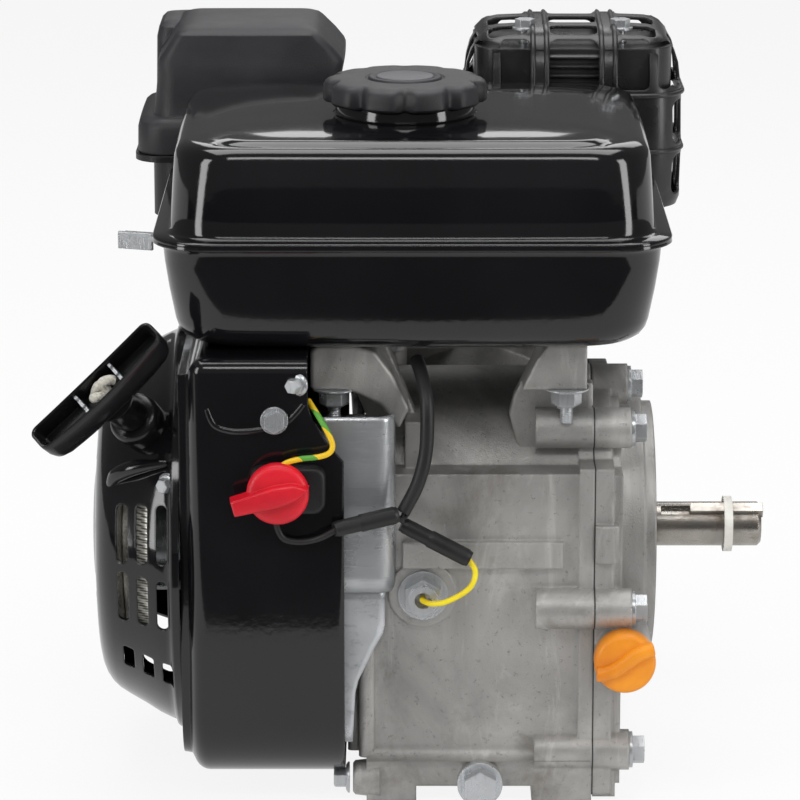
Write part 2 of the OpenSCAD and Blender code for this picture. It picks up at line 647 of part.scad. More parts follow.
module piston() color([0.75, 0.75, 0.74]) leaning() difference() {
    crown = pin_z + crown_h;
    translate([0, 0, crown - piston_h]) cylinder(h = piston_h, r = piston_r);
    difference() {
        translate([0, 0, crown - piston_h - 1]) cylinder(h = piston_h - 6, r = piston_r - 5);
        for (s = [-1, 1]) translate([s * (piston_r + web_gap) / 2 - (piston_r - web_gap) / 2, -13, crown - piston_h])
            cube([piston_r - web_gap, 26, piston_h]);
    }
    translate([-bore, 0, pin_z]) rotate([0, 90, 0]) cylinder(h = 2 * bore, r = pin_d / 2 + 0.01);
    for (k = [0:2]) difference() {
        translate([0, 0, crown - 4.5 - 3.5 * k]) cylinder(h = 1.54, r = bore);
        translate([0, 0, crown - 5 - 3.5 * k]) cylinder(h = 3, r = piston_r - 3.2);
    }
}
module piston_rings() color([0.3, 0.3, 0.31]) leaning() for (k = [0:2]) difference() {
    translate([0, 0, pin_z + crown_h - 4.48 - 3.5 * k]) cylinder(h = 1.5, r = bore / 2 - 0.01);
    translate([0, 0, pin_z + crown_h - 5 - 3.5 * k]) cylinder(h = 3, r = piston_r - 3);
    rotate(120 * k) translate([0, -0.2, pin_z]) cube([bore, 0.4, crown_h]);
}
module piston_pin() color([0.8, 0.8, 0.82]) leaning() translate([-bore / 2 + 4, 0, pin_z]) rotate([0, 90, 0])
    difference() {
        cylinder(h = bore - 8, r = pin_d / 2);
        translate([0, 0, -1]) cylinder(h = bore, r = pin_d / 4);
    }

/* ---------- valve gear ---------- */

module cam_lobe(x, turn) slab_x(x - 4.5, x + 4.5) translate(cam_yz) rotate(turn) hull() {
    circle(r = lobe_r, $fn = 32);
    translate([lobe_r + lobe_lift - 5, 0]) circle(r = 5, $fn = 32);
}
module camshaft() color([0.45, 0.45, 0.46]) {
    bar_x(case_x + 3, flange_x - 7, cam_shaft_r, cam_yz);
    difference() {
        slab_x(gear_x, gear_x + gear_w) translate(cam_yz) rotate(cam_angle + 180 / cam_teeth)
            gear_outline(cam_teeth);
        bar_x(gear_x - 1, gear_x + gear_w + 1, cam_shaft_r - 0.5, cam_yz);
    }
    cam_lobe(cyl_x - valve_x, lean + 130);
    cam_lobe(cyl_x + valve_x, lean - 130);
}
module push_rods() color([0.6, 0.6, 0.62]) leaning() for (x = [-valve_x, valve_x]) translate([x, valve_row, 0]) {
    foot = cam_lift_z + lobe_r + 0.1;
    translate([0, 0, foot]) cylinder(h = 3, r = 12);
    translate([0, 0, foot + 3]) cylinder(h = 18, r = 5);
    translate([0, 0, foot + 21]) cylinder(h = rocker_z - foot - 25, r = 3);
}
module governor_gear() color([0.25, 0.25, 0.27]) translate([0, gov_yz[0], gov_yz[1]]) difference() {
    union() {
        slab_x(gear_x, gear_x + gear_w) rotate(gov_angle + 180 + 180 / gov_teeth) gear_outline(gov_teeth);
        bar_x(gear_x + gear_w - 1, gear_x + gear_w + 4, 13);
        bar_x(gear_x - 4, gear_x + 1, 6);
    }
    bar_x(gear_x - 5, gear_x + gear_w + 5, gov_pin_r + run_gap);
}

/* ---------- cylinder head ---------- */

module head_bolt_places() leaning() for (x = [-1, 1], y = [-1, 1])
    translate([x * head_bolt_x, y * head_bolt_y, head_boss_z]) children();
module rocker_outline(d = 0) round_rect(-rocker_x - d, rocker_y0 - d, rocker_x + d, rocker_y1 + d, 12);
module cylinder_head() color([0.6, 0.59, 0.58]) leaning() difference() {
    union() {
        slab_z(head_z, head_z + 9) round_rect(-fin_x, -fin_y, fin_x, valve_row + 10, 10);
        for (z = [head_z + 14:7:head_top - 6]) slab_z(z, z + fin_t) difference() {
            round_rect(-fin_x + 2, -fin_y + 2, fin_x - 2, valve_row + 6, 10);
            for (s = [-1, 1]) translate([s * (port_x + 10), valve_y]) square([20, 2 * port_bolt + 16], center = true);
        }
        slab_z(head_z, head_top) rocker_outline();
        slab_z(head_top - 5, head_top) rocker_outline(2);
        translate([-port_x, valve_y, port_z]) rotate([0, 90, 0]) cylinder(h = 2 * port_x, r = 13.5);
        for (s = [-1, 1]) translate([s * (port_x - 2.5) - 2.5, valve_y - port_bolt - 6, port_z - 14])
            cube([5, 2 * port_bolt + 12, 27]);
        for (x = [-1, 1], y = [-1, 1]) translate([x * head_bolt_x, y * head_bolt_y, head_z])
            cylinder(h = head_boss_z - head_z, r = 7.6);
        at(plug_start, plug_dir) translate([0, 0, 12]) cylinder(h = plug_seat - 12, r = 11);
    }
    translate([0, 0, head_z - 1]) cylinder(h = 8, r = bore / 2 - 1);
    for (s = [-1, 1]) {
        translate([s * (valve_x + 2), valve_y, port_z]) rotate([0, s * 90, 0]) cylinder(h = port_x, r = port_r);
        translate([s * (valve_x + 2), valve_y, head_z]) cylinder(h = port_z - head_z, r = port_r);
        translate([s * (valve_x + 2), valve_y, head_z]) cylinder(h = head_h + 1, r = 2.75 + run_gap);
        translate([s * valve_x, valve_row, head_z - 1]) cylinder(h = head_h + 2, r = 6.5);
        for (y = [-port_bolt, port_bolt]) translate([s * (port_x + 1), valve_y + y, port_z]) rotate([0, -s * 90, 0])
            cylinder(h = 14, r = 3.05);
    }
    for (x = [-1, 1], y = [-1, 1]) translate([x * head_bolt_x, y * head_bolt_y, head_boss_z]) {
        bolt_hole(8, head_boss_z - head_z + 1);
        cylinder(h = head_h, r = 8.3);
    }
    slab_z(head_top - 14, head_top + 1) round_rect(-rocker_x + 4, rocker_y0 + 4, rocker_x - 4, rocker_y1 - 4, 7);
    for (p = rocker_bolts) translate([p[0], p[1], head_top]) thread_hole(6, 12);
    at(plug_start, plug_dir) {
        translate([0, 0, -12]) cylinder(h = plug_seat + 13, r = 7.05);
        translate([0, 0, plug_seat]) cylinder(h = 60, r = 13);
    }
}
module valves() color([0.6, 0.58, 0.56]) leaning() for (s = [-1, 1]) translate([s * (valve_x + 2), valve_y, 0]) {
    translate([0, 0, head_z + 4.5]) cylinder(h = 2.4, r = 12.2);
    translate([0, 0, head_z + 6.5]) cylinder(h = rocker_z - head_z - 6.6, r = 2.75);
    translate([0, 0, rocker_z - 6]) difference() {
        cylinder(h = 2.5, r = 10);
        translate([0, 0, -1]) cylinder(h = 5, r = 2.75);
    }
    swept([for (a = [0:20:5 * 360]) [8 * cos(a), 8 * sin(a),
        head_top - 12.9 + (rocker_z - head_top + 5.7) * a / 1800]], 1.2, ref = [0, 0, 1]);
}
module rocker_arms() color([0.45, 0.43, 0.4]) leaning() for (s = [-1, 1]) {
    pivot_y = (valve_y + valve_row) / 2;
    difference() {
        hull() for (p = [[s * (valve_x + 2), valve_y], [s * (valve_x + 1), pivot_y], [s * valve_x, valve_row]])
            translate([p[0], p[1], rocker_z]) cylinder(h = 4.5, r = p[1] == pivot_y ? 7 : 5.5, $fn = 32);
        translate([s * (valve_x + 1), pivot_y, rocker_z - 1]) cylinder(h = 10, r = 3.1);
    }
    translate([s * (valve_x + 1), pivot_y, head_top - 14]) cylinder(h = rocker_z - head_top + 22, r = 3);
    translate([s * (valve_x + 1), pivot_y, rocker_z + 4.5]) difference() {
        cylinder(h = 4, r = 5.5, $fn = 6);
        translate([0, 0, -1]) cylinder(h = 6, r = 3);
    }
}
module rocker_cover() color([0.08, 0.08, 0.08]) leaning() difference() {
    union() {
        slab_z(head_top, head_top + rocker_h) rocker_outline(-3);
        slab_z(head_top, head_top + 3) rocker_outline(2);
        for (p = rocker_bolts) translate([p[0], p[1], head_top]) cylinder(h = 8, r = 7);
        translate([0, rocker_y0 + 3, head_top + 20]) rotate([90, 0, 0]) cylinder(h = 9, r = 5);
    }
    slab_z(head_top - 1, head_top + rocker_h - 2) round_rect(-rocker_x + 5, rocker_y0 + 5, rocker_x - 5,
        rocker_y1 - 5, 7);
    for (p = rocker_bolts) translate([p[0], p[1], head_top + 8]) bolt_hole(6, 10);
    for (p = rocker_bolts) translate([p[0], p[1], head_top + 8]) cylinder(h = 40, r = 7.5);
}
module spark_plug() color([0.85, 0.84, 0.82]) leaning() at(plug_start, plug_dir) {
    translate([0, 0, 8]) cylinder(h = plug_seat - 8, r = 7);
    translate([0, 0, plug_seat]) cylinder(h = 2.5, r = 10);
    translate([0, 0, plug_seat + 2.5]) cylinder(h = 9, r = 9.2, $fn = 6);
    translate([0, 0, plug_seat + 11]) cylinder(h = 14, r = 5);
}

/* ---------- ignition, flywheel and fan ---------- */

module plug_lead() color([0.05, 0.05, 0.05]) {
    leaning() at(plug_start, plug_dir) difference() {
        translate([0, 0, plug_seat + 12]) cylinder(h = 30, r = 8.5);
        translate([0, 0, plug_seat + 11]) cylinder(h = 15, r = 5.05);
    }
    swept(smooth_path(lead_route, 4), 3.2, ref = [0.3, -0.5, 0.8]);
}
module ignition_coil() color([0.2, 0.19, 0.19]) leaning() translate([coil_x1 - cyl_x, 0, 0]) difference() {
    union() {
        for (s = [-1, 1]) translate([-12, s * 17 - 6, fly_r + 0.5]) cube([12, 12, coil_r - fly_r + 6]);
        translate([-12, -23, coil_r - 5]) cube([12, 46, 11]);
        translate([-17, -11.5, fly_r + 2]) cube([17, 23, 17]);
    }
    for (s = [-1, 1]) translate([-20, s * 17, coil_r]) rotate([0, 90, 0]) cylinder(h = 30, r = 2.65);
}
module flywheel() color([0.38, 0.38, 0.39]) difference() {
    union() {
        difference() {
            bar_x(fan_x, fly_x, fly_r);
            bar_x(fan_x - 1, fly_x + 1, fly_r - 12);
        }
        bar_x(hub_x + 4, hub_x + 14, fly_r - 10);
        bar_x(hub_x, fly_x - 1, 24);
        for (a = [0:60:300]) slab_x(hub_x + 13, fly_x - 3) rotate(a) translate([22, -3]) square([fly_r - 32, 6]);
    }
    translate([fly_x, 0, 0]) rotate([0, -90, 0]) cylinder(h = taper_l, r1 = journal_r + 0.02, r2 = journal_r - 2.98);
    bar_x(hub_x - 1, fly_x - taper_l + 1, 9.6);
    slab_x(fly_x - 26, fly_x - 12) for (s = [0, 180]) rotate(s + 20) translate([fly_r - 4, -12]) square([6, 24]);
}
module cooling_fan() color([0.1, 0.1, 0.1]) {
    difference() {
        bar_x(fan_x - 2.5, fan_x, fly_r - 2);
        bar_x(fan_x - 3, fan_x + 1, cup_r + 5);
    }
    slab_x(fan_x - fan_w, fan_x - 2.5) for (i = [0:15]) rotate(22.5 * i)
        translate([cup_r + 38, 0]) rotate(28) translate([-16, -1]) square([26, 2]);
}
module starter_cup() color([0.78, 0.78, 0.8]) difference() {
    union() {
        bar_x(hub_x - 2, hub_x, cup_r);
        bar_x(recoil_x1 - 16.5, hub_x - 1, cup_r);
    }
    bar_x(recoil_x1 - 18, hub_x - 2, cup_r - 1.6);
    bar_x(hub_x - 3, hub_x + 1, 7.05);
    for (i = [0:5]) rotate([60 * i, 0, 0]) translate([recoil_x1 - 8, -6, 0]) cube([18, 12, cup_r + 2]);
}
module flywheel_nut() color([0.7, 0.7, 0.7]) difference() {
    translate([hub_x - 14, 0, 0]) rotate([0, 90, 0]) cylinder(h = 12, r = 11, $fn = 6);
    bar_x(hub_x - 15, hub_x, 7.03);
}
module cowl_outline(d = 0) hull() {
    translate([-cowl_r + 60, -cowl_r + 60]) circle(r = 60 - d, $fn = 96);
    translate([cowl_back - 50, -cowl_r + 50]) circle(r = 50 - d, $fn = 64);
    translate([-cowl_r + 22, cowl_top - 22]) circle(r = 22 - d);
    translate([cowl_back - 14, cowl_top - 14]) circle(r = 14 - d);
}
module cowl_solid(d) difference() {
    slab_x(cowl_x0 + d, cowl_x1 + d) cowl_outline(d);
    difference() {
        box([cowl_notch[0] - d, -2 * cowl_r, cowl_notch[2] - d], [cowl_x1 + 5, cowl_notch[1] + d, 2 * cowl_r]);
        bar_x(cowl_x0, cowl_x1 + 6, fly_r + 2 * sheet + air_gap - d);
    }
}
module fan_cover() color([0.03, 0.03, 0.03]) difference() {
    cowl_solid(0);
    cowl_solid(sheet);
    bar_x(cowl_x0 - 1, cowl_x0 + 3, fly_r - 14);
    recoil_bolt_places() bolt_hole(6, 8);
    front_bolt_place() bolt_hole(6, 8);
    at([switch_x, cowl_front, switch_z], [0, -1, 0]) translate([0, 0, -5]) cylinder(h = 10, r = 8.2);
}
module recoil_bolt_places() for (a = [35, 155, 275])
    at([recoil_x1 - 3, (recoil_d / 2 - 8.5) * cos(a), (recoil_d / 2 - 8.5) * sin(a)], [-1, 0, 0]) children();
module front_bolt_place() at([cowl_notch[0] - 9, cowl_front, cowl_top - 26], [0, -1, 0]) children();
module baffle_bolt_places() for (p = [[-58, 34], [-62, -52]])
    at([cowl_x1, p[0], p[1]], [-1, 0, 0]) children();
module side_baffle() color([0.75, 0.77, 0.79]) difference() {
    union() {
        slab_x(cowl_x1, cowl_x1 + sheet) intersection() {
            cowl_outline(3);
            translate([-case_front - 5, -67]) square([42, 135]);
        }
        box([cowl_x1, -case_front - 5, -67], [cowl_x1 + 20, -case_front - 3.5, 68]);
    }
    baffle_bolt_places() translate([0, 0, 1]) bolt_hole(6, 8);
    bar_x(cowl_x1 - 1, cowl_x1 + 3, fly_r - 34);
}
module coil_bolt_places() leaning() for (s = [-1, 1])
    translate([coil_x1 - 12 - cyl_x, s * 17, coil_r]) rotate([0, -90, 0]) children();
module guard_bolt_places() for (x = [guard_x0 + 30, guard_x1 - 30])
    translate([x, guard_y0 + 26, guard_z1]) children();
module m6_bolts() color([0.78, 0.78, 0.76]) {
    recoil_bolt_places() flange_bolt(6, 6);
    front_bolt_place() flange_bolt(6, 6);
    baffle_bolt_places() flange_bolt(6, 8);
    coil_bolt_places() flange_bolt(5, 20);
    guard_bolt_places() flange_bolt(6, can_gap);
    exhaust_bolt_places() flange_bolt(6, 4 + 12);
    carb_bolt_places() flange_bolt(6, 4 + insulator_t + 12);
    leaning() for (p = rocker_bolts) translate([p[0], p[1], head_top + 8]) flange_bolt(6, 18);
}
module m8_bolts() color([0.78, 0.78, 0.76]) {
    cover_bolt_places() flange_bolt(8, 34);
    head_bolt_places() flange_bolt(8, head_boss_z - deck_z + 28);
}

/* ---------- rope starter ---------- */

module in_handle_frame() let (n = cross(handle_dir, bar_dir)) multmatrix([
    [bar_dir[0], n[0], handle_dir[0], guide_pos[0]], [bar_dir[1], n[1], handle_dir[1], guide_pos[1]],
    [bar_dir[2], n[2], handle_dir[2], guide_pos[2]], [0, 0, 0, 1]]) children();
module recoil_housing() color([0.03, 0.03, 0.03]) difference() {
    union() {
        difference() {
            union() {
                bar_x(recoil_x0 + 8, recoil_x1, recoil_d / 2);
                bar_x(recoil_x0, recoil_x0 + 9, recoil_d / 2 - 9);
                rotate([0, 90, 0]) translate([0, 0, recoil_x0 + 9]) rotate_extrude()
                    translate([recoil_d / 2 - 9, 0]) circle(r = 9);
            }
            bar_x(recoil_x0 + 9, recoil_x1 + 1, recoil_d / 2 - sheet);
            bar_x(recoil_x0 + sheet, recoil_x0 + 10, recoil_d / 2 - 10);
        }
        difference() {
            for (a = [35, 155, 275]) bar_x(recoil_x1 - 3, recoil_x1, 11, [(recoil_d / 2 - 8.5) * cos(a), (recoil_d / 2 - 8.5) * sin(a)]);
            bar_x(recoil_x1 - 4, recoil_x1 + 1, fly_r - 20);
        }
        in_handle_frame() translate([0, 0, -20]) cylinder(h = 20, r = 12);
        bar_x(recoil_x0 + 1, reel_x0 + reel_w + 3, 8);
        bar_x(reel_x0 + reel_w + 0.3, reel_x0 + reel_w + 3, 12);
    }
    in_handle_frame() translate([0, 0, -30]) cylinder(h = 31, r = rope_d / 2 + 1.2);
    recoil_bolt_places() bolt_hole(6, 8);
    for (row = [0, 1], k = [0:2]) rotate([-5 + 17 * k, 0, 0])
        box([recoil_x0 + 11 + 15 * row, -recoil_d, -9], [recoil_x0 + 20 + 15 * row, -recoil_d / 2 + 20, 9]);
    for (a = [45:30:315]) rotate([a + 90, 0, 0]) translate([recoil_x0 - 1, -4, 54]) cube([5, 8, 20]);
    for (k = [0:5]) rotate([110 + 17 * k, 0, 0])
        box([recoil_x0 + 13, -recoil_d, -7], [recoil_x0 + 34, -recoil_d / 2 + 20, 7]);
}
module recoil_reel() color([0.16, 0.16, 0.17]) difference() {
    union() {
        bar_x(reel_x0, reel_x0 + 2, reel_r);
        bar_x(reel_x0 + 1, reel_x0 + reel_w - 1, reel_wind_r - rope_d);
        bar_x(reel_x0 + reel_w - 2, reel_x0 + reel_w, reel_r);
        for (s = [0, 180]) rotate([s, 0, 0]) translate([reel_x0 + reel_w - 1, 19, -3]) cube([10, 7, 6]);
    }
    bar_x(reel_x0 - 1, reel_x0 + reel_w + 1, 8 + run_gap);
}
module starter_rope() color([0.85, 0.83, 0.78]) for (x = [0, 1], r = [0, 1])
    translate([reel_x0 + reel_w / 2 + (x - 0.5) * (rope_d + 0.2), 0, 0]) rotate([0, 90, 0])
        rotate_extrude() translate([reel_wind_r - rope_d / 2 + 0.1 + r * (rope_d + 0.1), 0])
            circle(r = rope_d / 2 - 0.05);
module starter_handle() color([0.04, 0.04, 0.04]) in_handle_frame() {
    difference() {
        union() {
            translate([0, 0, 0.4]) cylinder(h = neck_l, r = 8.5);
            translate([0, 0, neck_l]) linear_extrude(bar_h) round_rect(-bar_l / 2, -8.5, bar_l / 2, 8.5, 6);
        }
        translate([0, 0, neck_l + 4]) linear_extrude(bar_h) round_rect(-bar_l / 2 + 3, -5.8, bar_l / 2 - 3, 5.8, 3);
        translate([0, 0, -1]) cylinder(h = neck_l + 8, r = rope_d / 2 + 0.05);
    }
    for (s = [-1, 1]) translate([s * 11 - 1, -5.8, neck_l + 4]) cube([2, 11.6, bar_h - 6]);
    translate([0, 0, -12]) cylinder(h = neck_l + 20, r = rope_d / 2);
    difference() {
        translate([0, 0, neck_l + 9.8]) sphere(r = 5.6);
        cylinder(h = neck_l + 8, r = rope_d / 2);
    }
}

/* ---------- fuel ---------- */

module tank_slice(z, d, y1 = tank_y1) translate([0, 0, z]) linear_extrude(0.1)
    round_rect(tank_x0 + d, tank_y0 + d, tank_x1 - d, y1 - d, 22, $fn = 40);
module tank_top(d) hull() {
    tank_slice(seam_z - d, rim_w + d);
    tank_slice(seam_z + 0.55 * tank_top_h - d, rim_w + 5 + d);
    tank_slice(tank_high - 0.16 * tank_top_h - d, rim_w + 8 + d);
    tank_slice(tank_high - 0.1 - d, rim_w + 17 + d);
}
module tank_bottom(d) {
    hull() {
        tank_slice(seam_z - 0.1 + d, rim_w + 1 + d);
        tank_slice(seam_z - 0.5 * tank_bottom_h + d, rim_w + 3 + d);
        tank_slice(tank_low + tank_step_h + d, rim_w + 9 + d);
    }
    hull() {
        tank_slice(tank_low + tank_step_h + d, rim_w + 9 + d, tank_step_y + 22);
        tank_slice(tank_low + 4 + d, rim_w + 11 + d, tank_step_y + 18);
        tank_slice(tank_low + d, rim_w + 17 + d, tank_step_y + 12);
    }
}
module tank_rim(z0, z1, inset) difference() {
    slab_z(z0, z1) round_rect(tank_x0, tank_y0, tank_x1, tank_y1, 24);
    slab_z(z0 - 1, z1 + 1) round_rect(tank_x0 + inset, tank_y0 + inset, tank_x1 - inset, tank_y1 - inset, 22);
}
module fuel_tank_upper() color([0.03, 0.03, 0.03]) {
    difference() {
        tank_top(0);
        tank_top(sheet);
        translate([cap_x, cap_y, tank_high - 8]) cylinder(h = 20, r = neck_r + sheet);
    }
    tank_rim(seam_z, seam_z + seam_t / 2, rim_w);
    difference() {
        translate([cap_x, cap_y, tank_high - 6]) cylinder(h = 12, r = neck_r + sheet);
        translate([cap_x, cap_y, tank_high - 7]) cylinder(h = 14, r = neck_r);
    }
}
module fuel_tank_lower() color([0.03, 0.03, 0.03]) {
    difference() {
        tank_bottom(0);
        tank_bottom(sheet);
        slab_z(seam_z - 2, seam_z + 1) round_rect(tank_x0 + rim_w + 3, tank_y0 + rim_w + 3,
            tank_x1 - rim_w - 3, tank_y1 - rim_w - 3, 20);
        translate([hose_route[0][0], hose_route[0][1], tank_low]) cylinder(h = 30, r = 2.5);
    }
    tank_rim(seam_z - seam_t / 2, seam_z, rim_w + 1);
}
module tank_studs() color([0.78, 0.78, 0.76]) for (x = stud_x) translate([x, stud_y, 0]) {
    translate([0, 0, arm_top - arm_h - 10]) cylinder(h = arm_h + 11, r = 3);
    difference() {
        translate([0, 0, arm_top]) cylinder(h = tank_low - arm_top, r = 8.5);
        translate([0, 0, arm_top - 1]) cylinder(h = 2, r = 3);
    }
    translate([0, 0, arm_top - arm_h - 7]) difference() {
        union() {
            translate([0, 0, 5.6]) cylinder(h = 1.4, r = 6.8);
            cylinder(h = 6, r = 5.6, $fn = 6);
        }
        translate([0, 0, -1]) cylinder(h = 9, r = 3);
    }
}
module fuel_cap() color([0.13, 0.13, 0.14]) translate([cap_x, cap_y, tank_high + 0.5]) difference() {
    union() {
        linear_extrude(cap_h) {
            circle(r = cap_d / 2 - 3);
            for (i = [0:9]) rotate(36 * i) translate([cap_d / 2 - 9, 0]) circle(r = 8.8);
        }
        cylinder(h = cap_h + 1.5, r = cap_d / 2 - 8);
    }
    translate([0, 0, -1]) cylinder(h = cap_h - 2, r = neck_r + sheet + 0.1);
    translate([0, 0, cap_h]) difference() {
        cylinder(h = 5, r = cap_d / 2 - 12);
        translate([0, 0, -1]) cylinder(h = 7, r = cap_d / 2 - 14);
    }
}
module fuel_hose() color([0.06, 0.06, 0.06]) swept(smooth_path(hose_route, 3), 3.2, ref = [1, 0, 0], sides = 10);

/* ---------- carburettor and controls ---------- */

module carb_flange(x0, x1) slab_x(x0, x1) difference() {
    translate([carb_y, carb_z]) hull() {
        circle(r = 15);
        for (s = [-1, 1]) rotate(lean) translate([0, s * port_bolt]) circle(r = 6.5);
    }
    translate([carb_y, carb_z]) circle(r = carb_bore);
    translate([carb_y, carb_z]) for (s = [-1, 1]) rotate(lean) translate([0, s * port_bolt]) circle(r = 3.15);
}
module carburettor() color([0.66, 0.66, 0.65]) {
    difference() {
        union() {
            bar_x(carb_x0, carb_x1, 14.5, port_yz);
            carb_flange(carb_x1 - 4, carb_x1);
            carb_flange(carb_x0, carb_x0 + 4);
            translate([carb_cx, carb_y, carb_z - 24]) cylinder(h = 24, r = 12);
            translate([carb_cx, carb_y, carb_z - 24]) cylinder(h = 5, r = bowl_r);
            translate([choke_x, carb_y, carb_z]) cylinder(h = 22, r = 5.5);
            translate(hose_end) rotate([-90, 0, 0]) cylinder(h = 13, r = 3);
            translate([carb_cx - 12, carb_y, carb_z - 14]) rotate([-90, 0, 0]) cylinder(h = 21.5, r = 8);
        }
        bar_x(carb_x0 - 1, carb_x1 + 1, carb_bore, port_yz);
        for (x = [throttle_x, choke_x]) translate([x, carb_y, carb_z - 13]) cylinder(h = 60, r = 3 + run_gap);
        translate([carb_cx - 12, carb_y + 8, carb_z - 14]) rotate([-90, 0, 0]) cylinder(h = 20, r = 3.5 + run_gap);
    }
    difference() {
        translate([carb_cx, carb_y, carb_z - 24 - bowl_h]) cylinder(h = bowl_h, r = bowl_r);
        translate([carb_cx, carb_y, carb_z - 22 - bowl_h]) cylinder(h = bowl_h, r = bowl_r - 1.5);
    }
    translate([carb_cx, carb_y, carb_z - 30 - bowl_h]) cylinder(h = 6, r = 6, $fn = 6);
}
module butterfly(x) {
    translate([x, carb_y, carb_z - 12.5]) cylinder(h = lever_z - carb_z + 12.5, r = 3);
    bar_x(x - 0.6, x + 0.6, carb_bore - 0.3, port_yz);
}
module throttle_shaft() color([0.7, 0.68, 0.6]) {
    butterfly(throttle_x);
    slab_z(lever_z - 2.5, lever_z) {
        translate([throttle_x, carb_y]) circle(r = 6);
        translate([throttle_x - 3, link_y - 2]) square([6, throttle_reach + 2]);
    }
}
module choke_lever() color([0.08, 0.08, 0.08]) {
    translate([choke_x, carb_y, carb_z - 12.5]) cylinder(h = 45, r = 3);
    bar_x(choke_x - 0.6, choke_x + 0.6, carb_bore - 0.3, port_yz);
    slab_z(carb_z + 32, carb_z + 35) {
        translate([choke_x, carb_y]) circle(r = 6);
        translate([choke_x - 3.5, carb_y]) square([7, 34]);
    }
    translate([choke_x - 3.5, carb_y + 31, carb_z + 25]) cube([7, 3, 8]);
}
module fuel_valve_lever() color([0.75, 0.1, 0.08]) translate([carb_cx - 12, carb_y, carb_z - 14]) rotate([-90, 0, 0]) {
    translate([0, 0, 8.5]) cylinder(h = 14, r = 3.5);
    translate([0, 0, 21.8]) linear_extrude(4) {
        circle(r = 7);
        translate([-24, -3]) square([24, 6]);
    }
}
module governor_arm() color([0.75, 0.76, 0.74]) {
    translate([gov_x, gov_y, 56]) cylinder(h = lever_z + 3.5 - 56, r = 3.5);
    slab_z(lever_z + 0.5, lever_z + 2.5) {
        translate([gov_x, gov_y]) circle(r = 7);
        polygon([[gov_x - 5, gov_y], [gov_x + 5, gov_y], [gov_x + 4, link_y + 4], [gov_x - 4, link_y + 4]]);
    }
    bar_x(throttle_x - 3, gov_x, 1.2, [link_y, lever_z + 3.6]);
}
module control_bracket() color([0.74, 0.75, 0.74]) {
    slab_z(cowl_top, cowl_top + 1.8) round_rect(pivot_xy[0] - 8, pivot_xy[1] - 26, pivot_xy[0] + 34, pivot_xy[1] + 14, 4);
    translate([pivot_xy[0], pivot_xy[1], cowl_top + 1]) cylinder(h = control_z - cowl_top - 1.3, r = 6);
    translate([pivot_xy[0], pivot_xy[1], cowl_top + 1]) cylinder(h = control_z - cowl_top + 4, r = 3);
}
module throttle_lever() color([0.74, 0.75, 0.74]) translate([pivot_xy[0], pivot_xy[1], control_z]) {
    difference() {
        linear_extrude(2.5) {
            circle(r = 9);
            rotate(-18) translate([-50, -5]) square([50, 10]);
        }
        translate([0, 0, -1]) cylinder(h = 5, r = 3 + run_gap);
    }
    rotate(-18) translate([-50, -5, -4]) cube([17, 2, 8]);
}

/* ---------- air cleaner and muffler ---------- */

module air_rect(z0, z1, d) slab_z(z0, z1) round_rect(air_x0 + d, air_y0 + d, air_x1 - d, air_y1 - d, 14);
module air_cleaner_base() color([0.05, 0.05, 0.05]) {
    difference() {
        union() {
            air_rect(air_z0, air_seam - 3, 8);
            air_rect(air_seam - 3, air_seam, 0);
            translate([carb_x0 - elbow_r - 4, carb_y, carb_z + elbow_r + 4]) cylinder(h = air_z0 - carb_z - elbow_r - 3, r = elbow_r);
        }
        air_rect(air_z0 + 2, air_seam + 1, 10);
        translate([carb_x0 - elbow_r - 4, carb_y, carb_z + elbow_r + 3]) cylinder(h = 60, r = carb_bore);
    }
    difference() {
        elbow_bend(elbow_r);
        elbow_bend(carb_bore);
    }
}
module elbow_bend(r) translate([carb_x0, carb_y, carb_z + elbow_r + 4]) rotate([90, 0, 0])
    rotate([0, 0, 180]) rotate_extrude(angle = 90) translate([elbow_r + 4, 0]) circle(r = r);
module air_shell(d) {
    hull() {
        air_rect(air_seam, air_seam + 4, 4 + d);
        air_rect(air_top - 14 - d, air_top - 13 - d, 7 + d);
        air_rect(air_top - 1 - d, air_top - d, 18 + d);
    }
}
module air_cleaner_cover() color([0.12, 0.12, 0.13]) {
    difference() {
        air_shell(0);
        air_shell(2);
        air_rect(air_seam - 1, air_seam + 3, 7);
    }
}
module can_box(d) translate([0, 0, guard_z0 + d]) linear_extrude(guard_z1 - guard_z0 - 2 * d)
    round_rect(guard_x0 + d, guard_y0 + d, guard_x1 - d, guard_y1 - d, 16 - d / 2);
module pipe_bend(r) translate([pipe_x - bend_r, carb_y, carb_z + bend_r]) rotate([90, 0, 0])
    rotate([0, 0, 270]) rotate_extrude(angle = 90) translate([bend_r, 0]) circle(r = r);
module exhaust_pipe(r, over) {
    translate([pipe_x, carb_y, carb_z + bend_r]) cylinder(h = guard_z0 + can_gap + over - carb_z - bend_r, r = r);
    pipe_bend(r);
    bar_x(port_face - over, pipe_x - bend_r, r, port_yz);
}
module muffler() color([0.09, 0.09, 0.09]) difference() {
    union() {
        difference() {
            can_box(can_gap);
            can_box(can_gap + sheet);
            guard_bolt_places() bolt_hole(6, 20);
        }
        exhaust_pipe(pipe_r, 0);
        slab_x(port_face, port_face + 4) translate([carb_y, carb_z]) hull() {
            circle(r = 15);
            for (s = [-1, 1]) rotate(lean) translate([0, s * port_bolt]) circle(r = 6.5);
        }
    }
    exhaust_pipe(pipe_r - pipe_wall, 3);
    exhaust_bolt_places() bolt_hole(6, 6);
}
module exhaust_bolt_places() for (s = [-1, 1]) let (p = lean_yz(valve_y + s * port_bolt, port_z))
    at([port_face + 4, p[0], p[1]], [1, 0, 0]) children();
module carb_bolt_places() for (s = [-1, 1]) let (p = lean_yz(valve_y + s * port_bolt, port_z))
    at([carb_x1 - 4, p[0], p[1]], [-1, 0, 0]) children();
